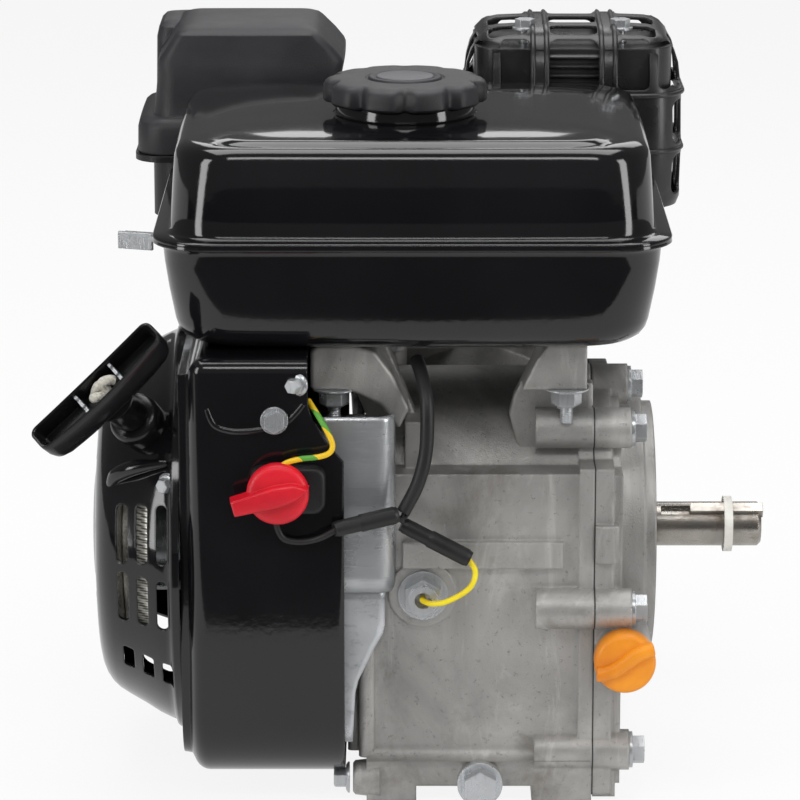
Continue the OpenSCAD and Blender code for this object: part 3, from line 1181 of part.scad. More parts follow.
module muffler_guard() color([0.04, 0.04, 0.04]) difference() {
    can_box(0);
    can_box(sheet);
    translate([pipe_x, carb_y, guard_z0 - 1]) cylinder(h = 5, r = pipe_r + 4);
    guard_bolt_places() bolt_hole(6, 20);
    for (i = [0:4], k = [0:2]) box([guard_x0 + 12 + 17.2 * i, guard_y0 - 5, guard_z0 + 10 + 24 * k],
        [guard_x0 + 24 + 17.2 * i, guard_y1 + 5, guard_z0 + 27 + 24 * k]);
    for (i = [0:2], k = [0:2]) box([guard_x0 - 5, guard_y0 + 14 + 19 * i, guard_z0 + 10 + 24 * k],
        [guard_x1 + 5, guard_y0 + 27 + 19 * i, guard_z0 + 27 + 24 * k]);
    for (i = [0:4]) box([guard_x0 + 12 + 17.2 * i, guard_y0 + 42, guard_z0 + 30],
        [guard_x0 + 24 + 17.2 * i, guard_y1 - 8, guard_z1 + 5]);
}

/* ---------- switch and wiring ---------- */

module switch_body() color([0.05, 0.05, 0.05]) difference() {
    union() {
        slab_y(cowl_front - switch_face, cowl_front) translate([switch_x, switch_z]) hull() {
            circle(r = 21);
            translate([switch_w / 2 - 12, -8]) circle(r = 12);
            translate([switch_w / 2 - 12, 12]) circle(r = 8);
        }
        at([switch_x, cowl_front, switch_z], [0, 1, 0]) cylinder(h = 10, r = 8);
    }
    at([switch_x, cowl_front + 6, switch_z], [0, -1, 0]) cylinder(h = 40, r = 4 + run_gap);
}
module stop_knob() color([0.78, 0.03, 0.06]) at([switch_x, cowl_front - switch_face - 0.3, switch_z], [0, -1, 0]) {
    translate([0, 0, -6]) cylinder(h = 8, r = 4);
    cylinder(h = 6, r = 14.5);
    linear_extrude(12) round_rect(-16, -5, 19, 5, 4.5);
}
module stop_wire() color([0.05, 0.05, 0.05]) {
    swept(smooth_path(harness_route, 3), 3.1, sides = 10);
    for (p = [plug_a, plug_b]) at(p[0], p[1] - p[0]) cylinder(h = norm(p[1] - p[0]), r = 4);
    swept(smooth_path(switch_lead, 4), 1.4, ref = [0, 0, 1]);
}
module sensor_wire() color([0.9, 0.8, 0.1]) swept(smooth_path(yellow_route, 4), 1.3, ref = [1, 0, 0]);
module ground_wire() color([0.85, 0.8, 0.15]) swept(smooth_path(earth_route, 4), 1.3, ref = [0, 1, 0]);

crankcase();
cylinder_sleeve();
gaskets();
crankcase_cover();
m8_bolts();
oil_seals();
main_bearings();
oil_plugs();
dipstick();
oil_level_sensor();
crankshaft();
crank_gear();
shaft_key();
key_band();
connecting_rod();
piston();
piston_rings();
piston_pin();
camshaft();
push_rods();
governor_gear();
cylinder_head();
valves();
rocker_arms();
rocker_cover();
spark_plug();
plug_lead();
ignition_coil();
flywheel();
cooling_fan();
starter_cup();
flywheel_nut();
fan_cover();
m6_bolts();
recoil_housing();
recoil_reel();
starter_rope();
starter_handle();
side_baffle();
fuel_tank_upper();
fuel_tank_lower();
tank_studs();
fuel_cap();
fuel_hose();
carburettor();
throttle_shaft();
choke_lever();
fuel_valve_lever();
control_bracket();
throttle_lever();
governor_arm();
air_cleaner_base();
air_cleaner_cover();
muffler();
muffler_guard();
switch_body();
stop_knob();
ground_wire();
sensor_wire();
stop_wire();
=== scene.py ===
import json
from math import copysign, cos, exp, pi, radians, sin, sqrt

import bmesh
import bpy
from bpy.props import FloatProperty, FloatVectorProperty, IntProperty, PointerProperty
from mathutils import Matrix, Vector


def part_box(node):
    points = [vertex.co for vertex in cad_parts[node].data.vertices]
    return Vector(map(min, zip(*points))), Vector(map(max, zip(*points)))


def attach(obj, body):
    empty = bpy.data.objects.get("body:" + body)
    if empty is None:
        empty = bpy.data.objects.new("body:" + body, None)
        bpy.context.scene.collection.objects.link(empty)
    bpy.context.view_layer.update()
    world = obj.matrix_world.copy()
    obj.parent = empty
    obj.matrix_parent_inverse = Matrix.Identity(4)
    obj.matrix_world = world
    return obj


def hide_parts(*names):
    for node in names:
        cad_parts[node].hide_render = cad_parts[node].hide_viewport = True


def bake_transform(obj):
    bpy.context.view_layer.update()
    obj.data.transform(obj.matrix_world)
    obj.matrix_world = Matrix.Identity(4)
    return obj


bl_info = {
    "name": "Small Petrol Engine",
    "version": (1, 0, 0),
    "blender": (4, 5, 0),
    "location": "3D View > Sidebar > Engine",
    "description": "Finishes, pressings, mouldings, wiring and studio of a small petrol engine",
    "category": "Object",
}

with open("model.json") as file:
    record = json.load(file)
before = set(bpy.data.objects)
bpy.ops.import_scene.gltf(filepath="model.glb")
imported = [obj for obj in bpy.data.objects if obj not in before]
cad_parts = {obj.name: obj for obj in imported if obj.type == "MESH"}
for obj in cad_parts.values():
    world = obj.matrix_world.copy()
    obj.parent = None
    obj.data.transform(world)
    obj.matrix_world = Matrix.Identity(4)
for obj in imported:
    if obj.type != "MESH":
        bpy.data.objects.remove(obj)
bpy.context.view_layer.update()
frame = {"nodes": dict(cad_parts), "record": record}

# Pieces are worked out in millimetres, and MM turns them into metres. The stage is in metres.
MM = 0.001
SHARP = 38.0  # degrees: a steeper edge isn't smoothed
SHEET = 1.5  # thickness of the pressed sheets
COWL = (-208.5, -137.0)  # both ends of the fan cover in X
RECOIL_X = -252.0  # outer end of the starter housing
TANK = (-219.4, -92.0, 3.6, 98.0)  # the tank flange's lowest X and Y, then its highest
CAP = (-111, -12, 0)  # axis of the filler and its cap
STUDS = ((-141.9, -62.5, 79.6), (-40.7, -62.5, 79.6))  # undersides of the tank arms
SWITCH = (-165.5, -101.0, 43.0)  # middle of the stop switch's face
DIPSTICK = (-15.2, -87, -37.4)  # middle of the dipstick's head


# ---------- settings ----------

def colour(name, text, default):
    return FloatVectorProperty(name=name, description=text, subtype="COLOR", size=3, min=0, max=1, default=default)


def length(name, text, default):
    return FloatProperty(name=name, description=text, unit="LENGTH", default=default * MM, precision=4)


class EngineFinishSettings(bpy.types.PropertyGroup):
    paint: colour("Gloss paint", "Colour of the painted pressings", (0.006, 0.006, 0.007))
    heat_paint: colour("Heat paint", "Colour of the muffler and its guard", (0.014, 0.014, 0.014))
    casting: colour("Casting", "Colour of the cast aluminium", (0.56, 0.55, 0.53))
    steel: colour("Steel", "Colour of turned and ground steel", (0.5, 0.47, 0.43))
    zinc: colour("Zinc", "Colour of zinc-plated parts", (0.66, 0.68, 0.7))
    iron: colour("Iron", "Colour of machined cast iron", (0.2, 0.2, 0.21))
    grey_plastic: colour("Grey plastic", "Colour of the cap and the air cleaner's cover", (0.022, 0.022, 0.025))
    black_plastic: colour("Black plastic", "Colour of the other mouldings", (0.009, 0.009, 0.01))
    orange_plastic: colour("Orange plastic", "Colour of the dipstick", (0.92, 0.28, 0.01))
    red_plastic: colour("Red plastic", "Colour of the stop knob and fuel lever", (0.66, 0.006, 0.02))
    rope: colour("Rope", "Colour of the starter rope", (0.66, 0.63, 0.55))


class EnginePressingSettings(bpy.types.PropertyGroup):
    crown: length("Panel crown", "How far the tank's flat sides bulge", 1.4)
    cowl_fillet: length("Fan cover fillet", "Rounding of the fan cover's edges", 7.0)
    lobes: IntProperty(name="Cap lobes", description="Lobes round the fuel cap", default=10, min=6, max=24)
    wire: length("Wire radius", "Radius of the thin wires", 1.25)


class EngineStageSettings(bpy.types.PropertyGroup):
    camera: FloatVectorProperty(name="Camera", description="Place of the camera", subtype="TRANSLATION",
                                default=(-0.1132, -1.8, 0.515))
    tilt: FloatProperty(name="Tilt", description="Camera's turn up from straight down", subtype="ANGLE",
                        default=radians(75.75))
    lens: FloatProperty(name="Lens", description="Focal length in millimetres", default=185.31)
    light: FloatProperty(name="Light", description="Strength of all the lamps", default=1.0, min=0)


# ---------- finishes ----------

class Value:
    """A node's output socket. Arithmetic on it adds Math nodes to its tree."""

    def __init__(self, nodes, socket):
        self.nodes, self.socket = nodes, socket

    def _math(self, operation, *values):
        return self.nodes.node("ShaderNodeMath", {"operation": operation}, *values)

    def __add__(self, other):
        return self._math("ADD", self, other)

    def __sub__(self, other):
        return self._math("SUBTRACT", self, other)

    def __rsub__(self, other):
        return self._math("SUBTRACT", other, self)

    def __mul__(self, other):
        return self._math("MULTIPLY", self, other)

    def above(self, other):
        return self._math("GREATER_THAN", self, other)

    __radd__ = __add__
    __rmul__ = __mul__


class Nodes:
    """A node tree that was cleared, with one way to add any node to it."""

    def __init__(self, tree):
        self.tree = tree
        tree.nodes.clear()

    def feed(self, socket, value):
        if isinstance(value, Value):
            self.tree.links.new(value.socket, socket)
        elif socket.type == "RGBA" and len(value) == 3:
            socket.default_value = (*value, 1)
        else:
            socket.default_value = value

    def node(self, kind, settings, *values, out=0, **named):
        """Adds a node. Values go to its sockets in order, None skips one, and named ones go by name."""
        made = self.tree.nodes.new(kind)
        for key, setting in settings.items():
            setattr(made, key, setting)
        for socket, value in zip(made.inputs, values):
            if value is not None:
                self.feed(socket, value)
        for key, value in named.items():
            self.feed(made.inputs[key.replace("_", " ")], value)
        return Value(self, made.outputs[out]) if made.outputs else None


class Finish(Nodes):
    """One material of the engine, with a Principled shader and the object's own coordinates."""

    def __init__(self, name):
        self.material = bpy.data.materials.new(name)
        self.material.use_nodes = True
        super().__init__(self.material.node_tree)
        self.output = self.tree.nodes.new("ShaderNodeOutputMaterial")
        self.surface = self.node("ShaderNodeBsdfPrincipled", {})
        self.feed(self.output.inputs[0], self.surface)
        self.place = self.node("ShaderNodeTexCoord", {}, out="Object")

    def noise(self, scale, detail=3.0, roughness=0.55, by=None, distortion=0.0):
        where = self.node("ShaderNodeMapping", {}, Vector=self.place, Scale=by) if by else self.place
        return self.node("ShaderNodeTexNoise", {}, Vector=where, Scale=scale, Detail=detail, Roughness=roughness,
                         Distortion=distortion)

    def wave(self, direction, scale, distortion=0.0):
        return self.node("ShaderNodeTexWave", {"bands_direction": direction}, Vector=self.place, Scale=scale,
                         Distortion=distortion)

    def spread(self, value, low, high):
        """The value's part between low and high, stretched to run from 0 to 1."""
        return self.node("ShaderNodeMapRange", {"clamp": True}, value, low, high)

    def mix(self, factor, a, b):
        return self.node("ShaderNodeMix", {"data_type": "RGBA"}, factor, *[None] * 5, a, b, out=2)

    def round_edges(self, radius):
        return self.node("ShaderNodeBevel", {"samples": 4}, radius)

    def bump(self, height, strength, depth, normal=None):
        named = {"Normal": normal} if normal else {}
        return self.node("ShaderNodeBump", {}, Strength=strength, Distance=depth, Height=height, **named)

    def shade(self, **sockets):
        for key, value in sockets.items():
            self.feed(self.surface.socket.node.inputs[key.replace("_", " ")], value)
        return self.material


def scaled(shade, by):
    return tuple(min(1.0, c * by) for c in shade)


def gloss_paint(f, base, gloss=0.07):
    """Stoved gloss paint: faint orange peel, a little haze and dust."""
    haze = f.spread(f.noise(11, 5), 0.35, 0.7)
    dust = f.spread(f.noise(1500, 2, 0.7), 0.72, 0.8) * f.spread(f.noise(24, 3), 0.48, 0.7)
    return f.shade(
        Base_Color=f.mix(dust * 0.22, f.mix(haze, scaled(base, 0.8), scaled(base, 1.4)), (0.2, 0.2, 0.2)),
        Roughness=haze * 0.05 + dust * 0.3 + gloss, Coat_Weight=0.35, Coat_Roughness=0.03, IOR=1.5,
        Normal=f.bump(f.noise(330, 2) + f.noise(22, 1) * 1.2, 0.08, 0.0003, f.round_edges(1.2 * MM)))


def heat_paint(f, base):
    """Satin black heat paint on pressed steel, dusty and lightly chalked."""
    chalk = f.spread(f.noise(28, 6, 0.65), 0.4, 0.75)
    rub = f.spread(f.noise(90, 5, 0.7), 0.6, 0.75)
    return f.shade(
        Base_Color=f.mix(rub * 0.5, f.mix(chalk, base, scaled(base, 1.9)), (0.09, 0.085, 0.08)),
        Roughness=chalk * 0.14 + 0.26, Coat_Weight=0.15, Coat_Roughness=0.15,
        Normal=f.bump(f.noise(1300, 3, 0.6) + f.noise(70, 2), 0.25, 0.0002, f.round_edges(1.2 * MM)))


def casting(f, base):
    """Die-cast aluminium: grain, flow lines, oil stains and dull patches."""
    flow = f.noise(16, 7, 0.62, by=(1.0, 0.7, 0.4), distortion=1.6)
    patches = f.spread(f.noise(9, 6, 0.6, distortion=0.8), 0.38, 0.66)
    stain = f.spread(f.noise(21, 8, 0.66, distortion=0.6), 0.56, 0.72)
    streak = f.spread(f.noise(34, 5, 0.7, by=(1.6, 1, 0.3), distortion=0.9), 0.58, 0.75)
    specks = f.spread(f.noise(420, 4, 0.7), 0.6, 0.7)
    grain = f.noise(1150, 4, 0.7)
    light = f.mix(f.spread(flow, 0.3, 0.7), scaled(base, 0.5), scaled(base, 1.2))
    toned = f.mix(patches * 0.6, light, scaled(base, 0.66))
    bright = f.mix(streak * 0.5, toned, scaled(base, 1.5))
    dirty = f.mix(stain * 0.62, bright, (0.17, 0.145, 0.11))
    return f.shade(
        Base_Color=f.mix(specks * 0.65, dirty, scaled(base, 0.4)), Metallic=0.55,
        Roughness=patches * 0.14 + stain * 0.12 + grain * 0.1 + 0.3,
        Normal=f.bump(grain + f.noise(150, 3, 0.5) * 0.8 + specks * -0.6, 0.45, 0.0004, f.round_edges(1.8 * MM)))


def turned_steel(f, base, line=1.0):
    """Turned and ground steel, with fine lines round the shaft and brown stains."""
    turning = f.wave("X", 520.0, 1.2)
    rust = f.spread(f.noise(85, 7, 0.7, by=(0.6, 1, 1), distortion=0.5), 0.52, 0.72)
    oil = f.spread(f.noise(40, 4), 0.4, 0.7)
    return f.shade(
        Base_Color=f.mix(rust * 0.75, f.mix(oil, base, scaled(base, 0.66)), (0.15, 0.085, 0.045)), Metallic=0.95,
        Roughness=rust * 0.25 + oil * 0.12 + 0.22,
        Normal=f.bump(turning * line + rust * 0.6, 0.16, 0.0002, f.round_edges(0.5 * MM)))


def zinc_plate(f, base, streak=(7, 1, 0.5)):
    """Bright zinc plating with scratches and dull spots."""
    cloud = f.spread(f.noise(34, 5), 0.35, 0.7)
    scratch = f.spread(f.noise(120, 6, 0.78, by=streak), 0.55, 0.72)
    spangle = f.node("ShaderNodeTexVoronoi", {"feature": "F1"}, Vector=f.place, Scale=210.0)
    return f.shade(
        Base_Color=f.mix(scratch * 0.65, f.mix(cloud, base, scaled(base, 0.78)), scaled(base, 0.4)), Metallic=0.72,
        Roughness=cloud * 0.16 + scratch * 0.15 + spangle * 0.08 + 0.2,
        Normal=f.bump(scratch + f.noise(60, 3) * 1.5, 0.22, 0.0003, f.round_edges(0.7 * MM)))


def woven_screen_painted_bright(f):
    """Woven wire behind the starter's slots. Its pale, hardly metallic colour is a painted highlight that makes it look
    brightly lit.
    """
    weave = f.wave("DIAGONAL", 190.0, 1.5)
    cross = f.wave("Z", 260.0, 1.0)
    wire = f.spread(weave * 0.6 + cross * 0.6, 0.3, 0.75)
    # The near-white wire colour and the low metallic stand in for light falling through the slots: a painted highlight.
    return f.shade(Base_Color=f.mix(wire, (0.16, 0.15, 0.13), (0.86, 0.84, 0.76)), Metallic=0.25,
                   Roughness=0.4 - wire * 0.1, Normal=f.bump(wire, 0.8, 0.0005))


def moulding(f, base, rough, grain_depth=0.0002):
    """Moulded plastic with a fine spark-eroded grain and handling marks."""
    grain = f.noise(1700, 3, 0.65)
    rub = f.spread(f.noise(30, 6, 0.6), 0.42, 0.72)
    return f.shade(
        Base_Color=f.mix(rub, scaled(base, 0.85), scaled(base, 1.3)),
        Roughness=rub * 0.1 + grain * 0.12 + (rough - 0.08),
        Normal=f.bump(grain, 0.35, grain_depth, f.round_edges(0.8 * MM)))


def soft_cover(f, base, rough=0.42):
    """Rubber or wire insulation, smooth with a faint bloom."""
    bloom = f.spread(f.noise(70, 4), 0.4, 0.7)
    return f.shade(Base_Color=f.mix(bloom, base, scaled(base, 1.35)), Roughness=bloom * 0.15 + rough,
                   Normal=f.bump(f.noise(900, 2), 0.15, 0.0001))


def earth_cover(f):
    """Wire insulation in yellow with a green stripe."""
    stripe = f.wave("DIAGONAL", 24.0)
    return f.shade(Base_Color=f.mix(stripe.above(0.8), (0.87, 0.55, 0.012), (0.1, 0.36, 0.04)),
                   Roughness=f.noise(200, 2) * 0.1 + 0.32, Normal=f.bump(f.noise(700, 2), 0.15, 0.0001))


def braided_rope(f, base):
    """Braided cord: crossing strands, fuzz and a little dirt."""
    one = f.wave("DIAGONAL", 260.0, 1.0)
    two = f.wave("Y", 230.0, 1.5)
    dirt = f.spread(f.noise(120, 5), 0.4, 0.75)
    return f.shade(Base_Color=f.mix(dirt * 0.6, base, scaled(base, 0.5)), Roughness=dirt * 0.1 + 0.75, Sheen_Weight=0.3,
                   Normal=f.bump(one * two + f.noise(1400, 2) * 0.3, 0.7, 0.0007))


def gasket_board(f):
    """Pressed fibre and black insulator."""
    fibre = f.noise(600, 5, 0.8, by=(1, 0.3, 1))
    return f.shade(Base_Color=f.mix(fibre, (0.012, 0.012, 0.012), (0.05, 0.05, 0.047)), Roughness=fibre * 0.2 + 0.55,
                   Normal=f.bump(fibre, 0.4, 0.0002))


FINISHES = {}


def make_finishes(s):
    """Fills FINISHES from the settings: a material's name, the function that shades it and its values."""
    recipes = {
        "black_gloss_paint": ("gloss_black_paint", gloss_paint, s.paint),
        "black_heat_paint": ("black_heat_paint", heat_paint, s.heat_paint),
        "cast_aluminium": ("cast_aluminium", casting, s.casting),
        "machined_steel": ("turned_steel", turned_steel, s.steel),
        "cast_iron_dark": ("machined_iron", turned_steel, s.iron, 0.4),
        "zinc_steel": ("zinc_plate", zinc_plate, s.zinc),
        "brushed_zinc": ("brushed_zinc", zinc_plate, scaled(s.zinc, 0.95), (0.4, 1, 9)),
        "pale_zinc": ("pale_zinc", zinc_plate, scaled(s.zinc, 1.15), (1, 1, 2)),
        "screen_steel": ("screen_steel", woven_screen_painted_bright),
        "cap_disc_plastic": ("cap_disc_plastic", moulding, scaled(s.grey_plastic, 3.2), 0.4),
        "grey_plastic": ("dark_grey_moulding", moulding, s.grey_plastic, 0.46, 0.0004),
        "black_plastic": ("black_moulding", moulding, s.black_plastic, 0.4),
        "black_gloss_plastic": ("gloss_black_moulding", moulding, s.black_plastic, 0.2, 0.00005),
        "orange_plastic": ("orange_moulding", moulding, s.orange_plastic, 0.36),
        "red_plastic": ("red_moulding", moulding, s.red_plastic, 0.33),
        "black_rubber": ("black_rubber", soft_cover, (0.012, 0.012, 0.012)),
        "elastic_white": ("pale_elastic", soft_cover, (0.75, 0.73, 0.68), 0.55),
        "yellow_cover": ("yellow_wire_cover", soft_cover, (0.85, 0.62, 0.01), 0.35),
        "green_yellow_cover": ("green_yellow_wire_cover", earth_cover),
        "rope_fibre": ("braided_rope", braided_rope, s.rope),
        "gasket_fibre": ("gasket_board", gasket_board),
    }
    for finish, (name, recipe, *values) in recipes.items():
        FINISHES[finish] = recipe(Finish(name), *values)


# ---------- making pieces ----------


def clean(mesh):
    """Joins points that coincide and turns every face outwards."""
    work = bmesh.new()
    work.from_mesh(mesh)
    bmesh.ops.remove_doubles(work, verts=work.verts, dist=2e-6)
    bmesh.ops.recalc_face_normals(work, faces=work.faces)
    work.to_mesh(mesh)
    work.free()


def smooth(mesh, angle=SHARP):
    mesh.polygons.foreach_set("use_smooth", [True] * len(mesh.polygons))
    mesh.set_sharp_from_angle(angle=radians(angle))


def linked(name, data):
    """A new object in the scene."""
    made = bpy.data.objects.new(name, data)
    bpy.context.scene.collection.objects.link(made)
    return made


def piece(name, points, faces, finish, body="engine", replaces=(), angle=SHARP):
    """A finished mesh that rides on its body, from points in millimetres."""
    made = plain_object(name, points, faces)
    smooth(made.data, angle)
    made.data.materials.append(FINISHES[finish])
    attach(made, body)
    if replaces:
        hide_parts(*replaces)
    return made


def plain_object(name, points, faces):
    """A mesh that rides on nothing yet, from points in millimetres."""
    mesh = bpy.data.meshes.new(name)
    mesh.from_pydata([Vector(p) * MM for p in points], [], faces)
    clean(mesh)
    return linked(name, mesh)


def loft(rings, close=True, cap_start=True, cap_end=True):
    """Points and faces of a skin over rings of equally many points."""
    count = len(rings[0])
    points = [p for ring in rings for p in ring]
    faces = []
    for i in range(len(rings) - 1):
        for k in range(count if close else count - 1):
            n = (k + 1) % count
            faces.append((i * count + k, i * count + n, (i + 1) * count + n, (i + 1) * count + k))
    if cap_start:
        faces.append(tuple(range(count - 1, -1, -1)))
    if cap_end:
        faces.append(tuple(range((len(rings) - 1) * count, len(rings) * count)))
    return points, faces


def open_tube(rings):
    return loft(rings, cap_start=False, cap_end=False)


def sheet(rings):
    return loft(rings, close=False, cap_start=False, cap_end=False)


# Where a point of a flat outline comes to lie, s along each axis.
LAY = {
    "X": lambda a, b, s: (s, a, b),
    "Y": lambda a, b, s: (a, s, b),
    "-Y": lambda a, b, s: (a, -s, b),
    "Z": lambda a, b, s: (a, b, s),
}


def prism(outline, axis, stops):
    """An outline drawn out along an axis, with a ring at each stop."""
    return loft([[LAY[axis](a, b, s) for a, b in outline] for s in stops])


def hull(corners, corner, edge):
    """An outline of four quarter circles, each (x, y, radius, first angle), joined by straight sides."""
    arcs = [[(x + r * cos(radians(start + 90 * k / corner)),
              y + r * sin(radians(start + 90 * k / corner))) for k in range(corner + 1)]
            for x, y, r, start in corners]
    outline = []
    for i, arc in enumerate(arcs):
        (x0, y0), (x1, y1) = arc[-1], arcs[(i + 1) % 4][0]
        outline += arc + [(x0 + (x1 - x0) * k / edge, y0 + (y1 - y0) * k / edge) for k in range(1, edge)]
    return outline


def rounded(x0, y0, x1, y1, r, corner=8, edge=6, crown=0.0):
    """A rounded rectangle as points, its straight sides crowned outwards."""
    r = max(0.05, min(r, (x1 - x0) / 2 - 0.05, (y1 - y0) / 2 - 0.05))
    outline = hull(((x1 - r, y0 + r, r, -90), (x1 - r, y1 - r, r, 0), (x0 + r, y1 - r, r, 90),
                    (x0 + r, y0 + r, r, 180)), corner, edge)
    mx, my, hx, hy = (x0 + x1) / 2, (y0 + y1) / 2, (x1 - x0) / 2, (y1 - y0) / 2
    return [(x + crown * (x - mx) / hx * (1 - ((y - my) / hy) ** 2),
             y + crown * (y - my) / hy * (1 - ((x - mx) / hx) ** 2)) for x, y in outline]


def turned(profile, steps, axis="X", centre=(0, 0, 0)):
    """Rings of a profile of (along, radius) pairs, turned about an axis."""
    angles = [2 * pi * k / steps for k in range(steps)]
    return [[tuple(p + c for p, c in zip(LAY[axis](r * cos(a), r * sin(a), along), centre)) for a in angles]
            for along, r in profile]


def smooth_route(points, steps):
    """A Catmull-Rom curve through the points."""
    route = []
    last = len(points) - 1
    vectors = [Vector(p) for p in points]
    for i in range(last):
        a, b, c, d = vectors[max(i - 1, 0)], vectors[i], vectors[i + 1], vectors[min(i + 2, last)]
        for k in range(steps):
            t = k / steps
            route.append(0.5 * (2 * b + (c - a) * t + (2 * a - 5 * b + 4 * c - d) * t * t
                                + (3 * b - a - 3 * c + d) * t ** 3))
    return route + [vectors[last]]


def tube_rings(route, radius, sides=14):
    """Rings round a route; radius is a number or a function of the share of the way."""
    rings = []
    side = None
    for i, p in enumerate(route):
        along = (route[min(i + 1, len(route) - 1)] - route[max(i - 1, 0)]).normalized()
        if side is None:
            side = along.orthogonal().normalized()
        side = (side - along * side.dot(along)).normalized()
        other = along.cross(side)
        r = radius(i / (len(route) - 1)) if callable(radius) else radius
        rings.append([p + r * (cos(2 * pi * k / sides) * side + sin(2 * pi * k / sides) * other)
                      for k in range(sides)])
    return rings


def tube(name, points, radius, finish, replaces=()):
    return piece(name, *loft(tube_rings(smooth_route(points, 6), radius)), finish, replaces=replaces)


def cut(target, cutter):
    """Takes the cutter out of the target's mesh and deletes the cutter."""
    boolean = target.modifiers.new("cut", "BOOLEAN")
    boolean.object, boolean.solver = cutter, "EXACT"
    bpy.context.view_layer.update()
    mesh = bpy.data.meshes.new_from_object(target.evaluated_get(bpy.context.evaluated_depsgraph_get()))
    old = target.data
    target.modifiers.remove(boolean)
    target.data = mesh
    mesh.name = old.name
    bpy.data.objects.remove(cutter)
    smooth(mesh)


def soften(target, width, segments, angle):
    bevel = target.modifiers.new("soften", "BEVEL")
    bevel.width, bevel.segments = width * MM, segments
    bevel.limit_method, bevel.angle_limit = "ANGLE", radians(angle)
    bevel.harden_normals = True


def merge(*parts):
    """Several (points, faces) pairs as one."""
    points, faces = [], []
    for some, more in parts:
        start = len(points)
        points += list(some)
        faces += [tuple(i + start for i in face) for face in more]
    return points, faces


def placed(part, matrix):
    """A (points, faces) pair, moved."""
    return [matrix @ Vector(p) for p in part[0]], part[1]


def turn(degrees, axis):
    return Matrix.Rotation(radians(degrees), 4, axis)


# ---------- operators ----------

class ENGINE_OT_finishes(bpy.types.Operator):
    """Makes every finish and paints the bare CAD nodes with them"""

    bl_idname = "engine.finishes"
    bl_label = "Finishes"

    def execute(self, context):
        make_finishes(context.scene.engine_finish)
        for part in frame["record"]["subparts"]:
            node = frame["nodes"][part["node"]]
            finish = FINISHES[part["material_slot"]]
            if not node.material_slots:
                node.data.materials.append(finish)
            for held in node.material_slots:
                held.material = finish
        return {"FINISHED"}


class ENGINE_OT_fuel_tank(bpy.types.Operator):
    """Makes the two tank pressings with their seam flange and the filler neck"""

    bl_idname = "engine.fuel_tank"
    bl_label = "Fuel tank"

    # height, inset from the flange, corner radius
    upper = ((147.4, 0, 24), (148.5, -0.2, 24), (149.2, 0.3, 24), (149.3, 6, 22), (149.8, 7.2, 22), (151.2, 7.9, 22),
             (158, 8.3, 22), (170, 9, 23), (181.5, 9.8, 24), (184.4, 10.6, 24), (186.4, 12, 24), (187.6, 13.8, 24),
             (188.2, 15.5, 24), (188.4, 17, 24), (188.5, 18.5, 23), (188.6, 20, 23), (188.8, 21.5, 23),
             (189.1, 23.5, 22), (189.6, 27, 22), (190.4, 33, 21), (191, 40, 19), (191.5, 50, 16), (191.8, 62, 12),
             (191.9, 80, 6))
    lower = ((147.4, 0, 24), (146.2, -0.2, 24), (145.7, 0.4, 24), (145.5, 2.8, 23), (144.9, 4, 23), (142.6, 4.6, 23),
             (137, 5.2, 22), (125, 7, 22), (111, 9.6, 22), (107, 10.8, 22), (103.8, 12.8, 22), (101.4, 15.8, 22),
             (100.2, 19.6, 22), (99.8, 24, 22), (99.6, 30, 21), (99.6, 40, 19), (99.6, 48, 16), (99.6, 56, 13),
             (99.6, 64, 10), (99.6, 72, 7), (99.6, 80, 5), (99.6, 88, 3))
    neck = ((190.4, 34), (191.6, 32.5), (192.2, 31), (197.6, 30.6), (198.4, 30), (198.4, 26))

    def ring(self, profile, crown, z, inset, r):
        """One ring of a pressing. The lower one's floor rises at the back, the upper one has a bead in front."""
        swell = crown * min(1.0, inset / 8) if inset < 40 else 0.0
        ring = rounded(TANK[0] + inset, TANK[1] + inset, TANK[2] - inset, TANK[3] - inset, r, 10, 14, swell)
        if profile is self.lower:
            return [(x, y, max(z, 99.6 + 19.2 * min(1.0, max(0.0, (y - 3) / 19)) ** 1.5)) for x, y in ring]
        made = []
        for x, y in ring:
            front = min(1.0, max(0.0, (92 - abs(x + 107.9)) / 12)) if y < TANK[1] + inset + 4 else 0.0
            dip = 1.5 * exp(-((inset - 18.5) / 1.7) ** 2) - 0.9 * exp(-((inset - 22.5) / 2.0) ** 2)
            made.append((x, y, z - front * dip))
        return made

    def execute(self, context):
        crown = context.scene.engine_pressing.crown / MM
        top = loft([self.ring(self.upper, crown, *row) for row in self.upper], cap_start=False)
        piece("tank_upper_pressing", *top, "black_gloss_paint", replaces=("fuel_tank_upper",), angle=60)
        bottom = loft([self.ring(self.lower, crown, *row) for row in self.lower], cap_start=False)
        piece("tank_lower_pressing", *bottom, "black_gloss_paint", replaces=("fuel_tank_lower",), angle=60)
        piece("filler_neck", *open_tube(turned(self.neck, 64, "Z", CAP)), "black_gloss_paint")
        return {"FINISHED"}


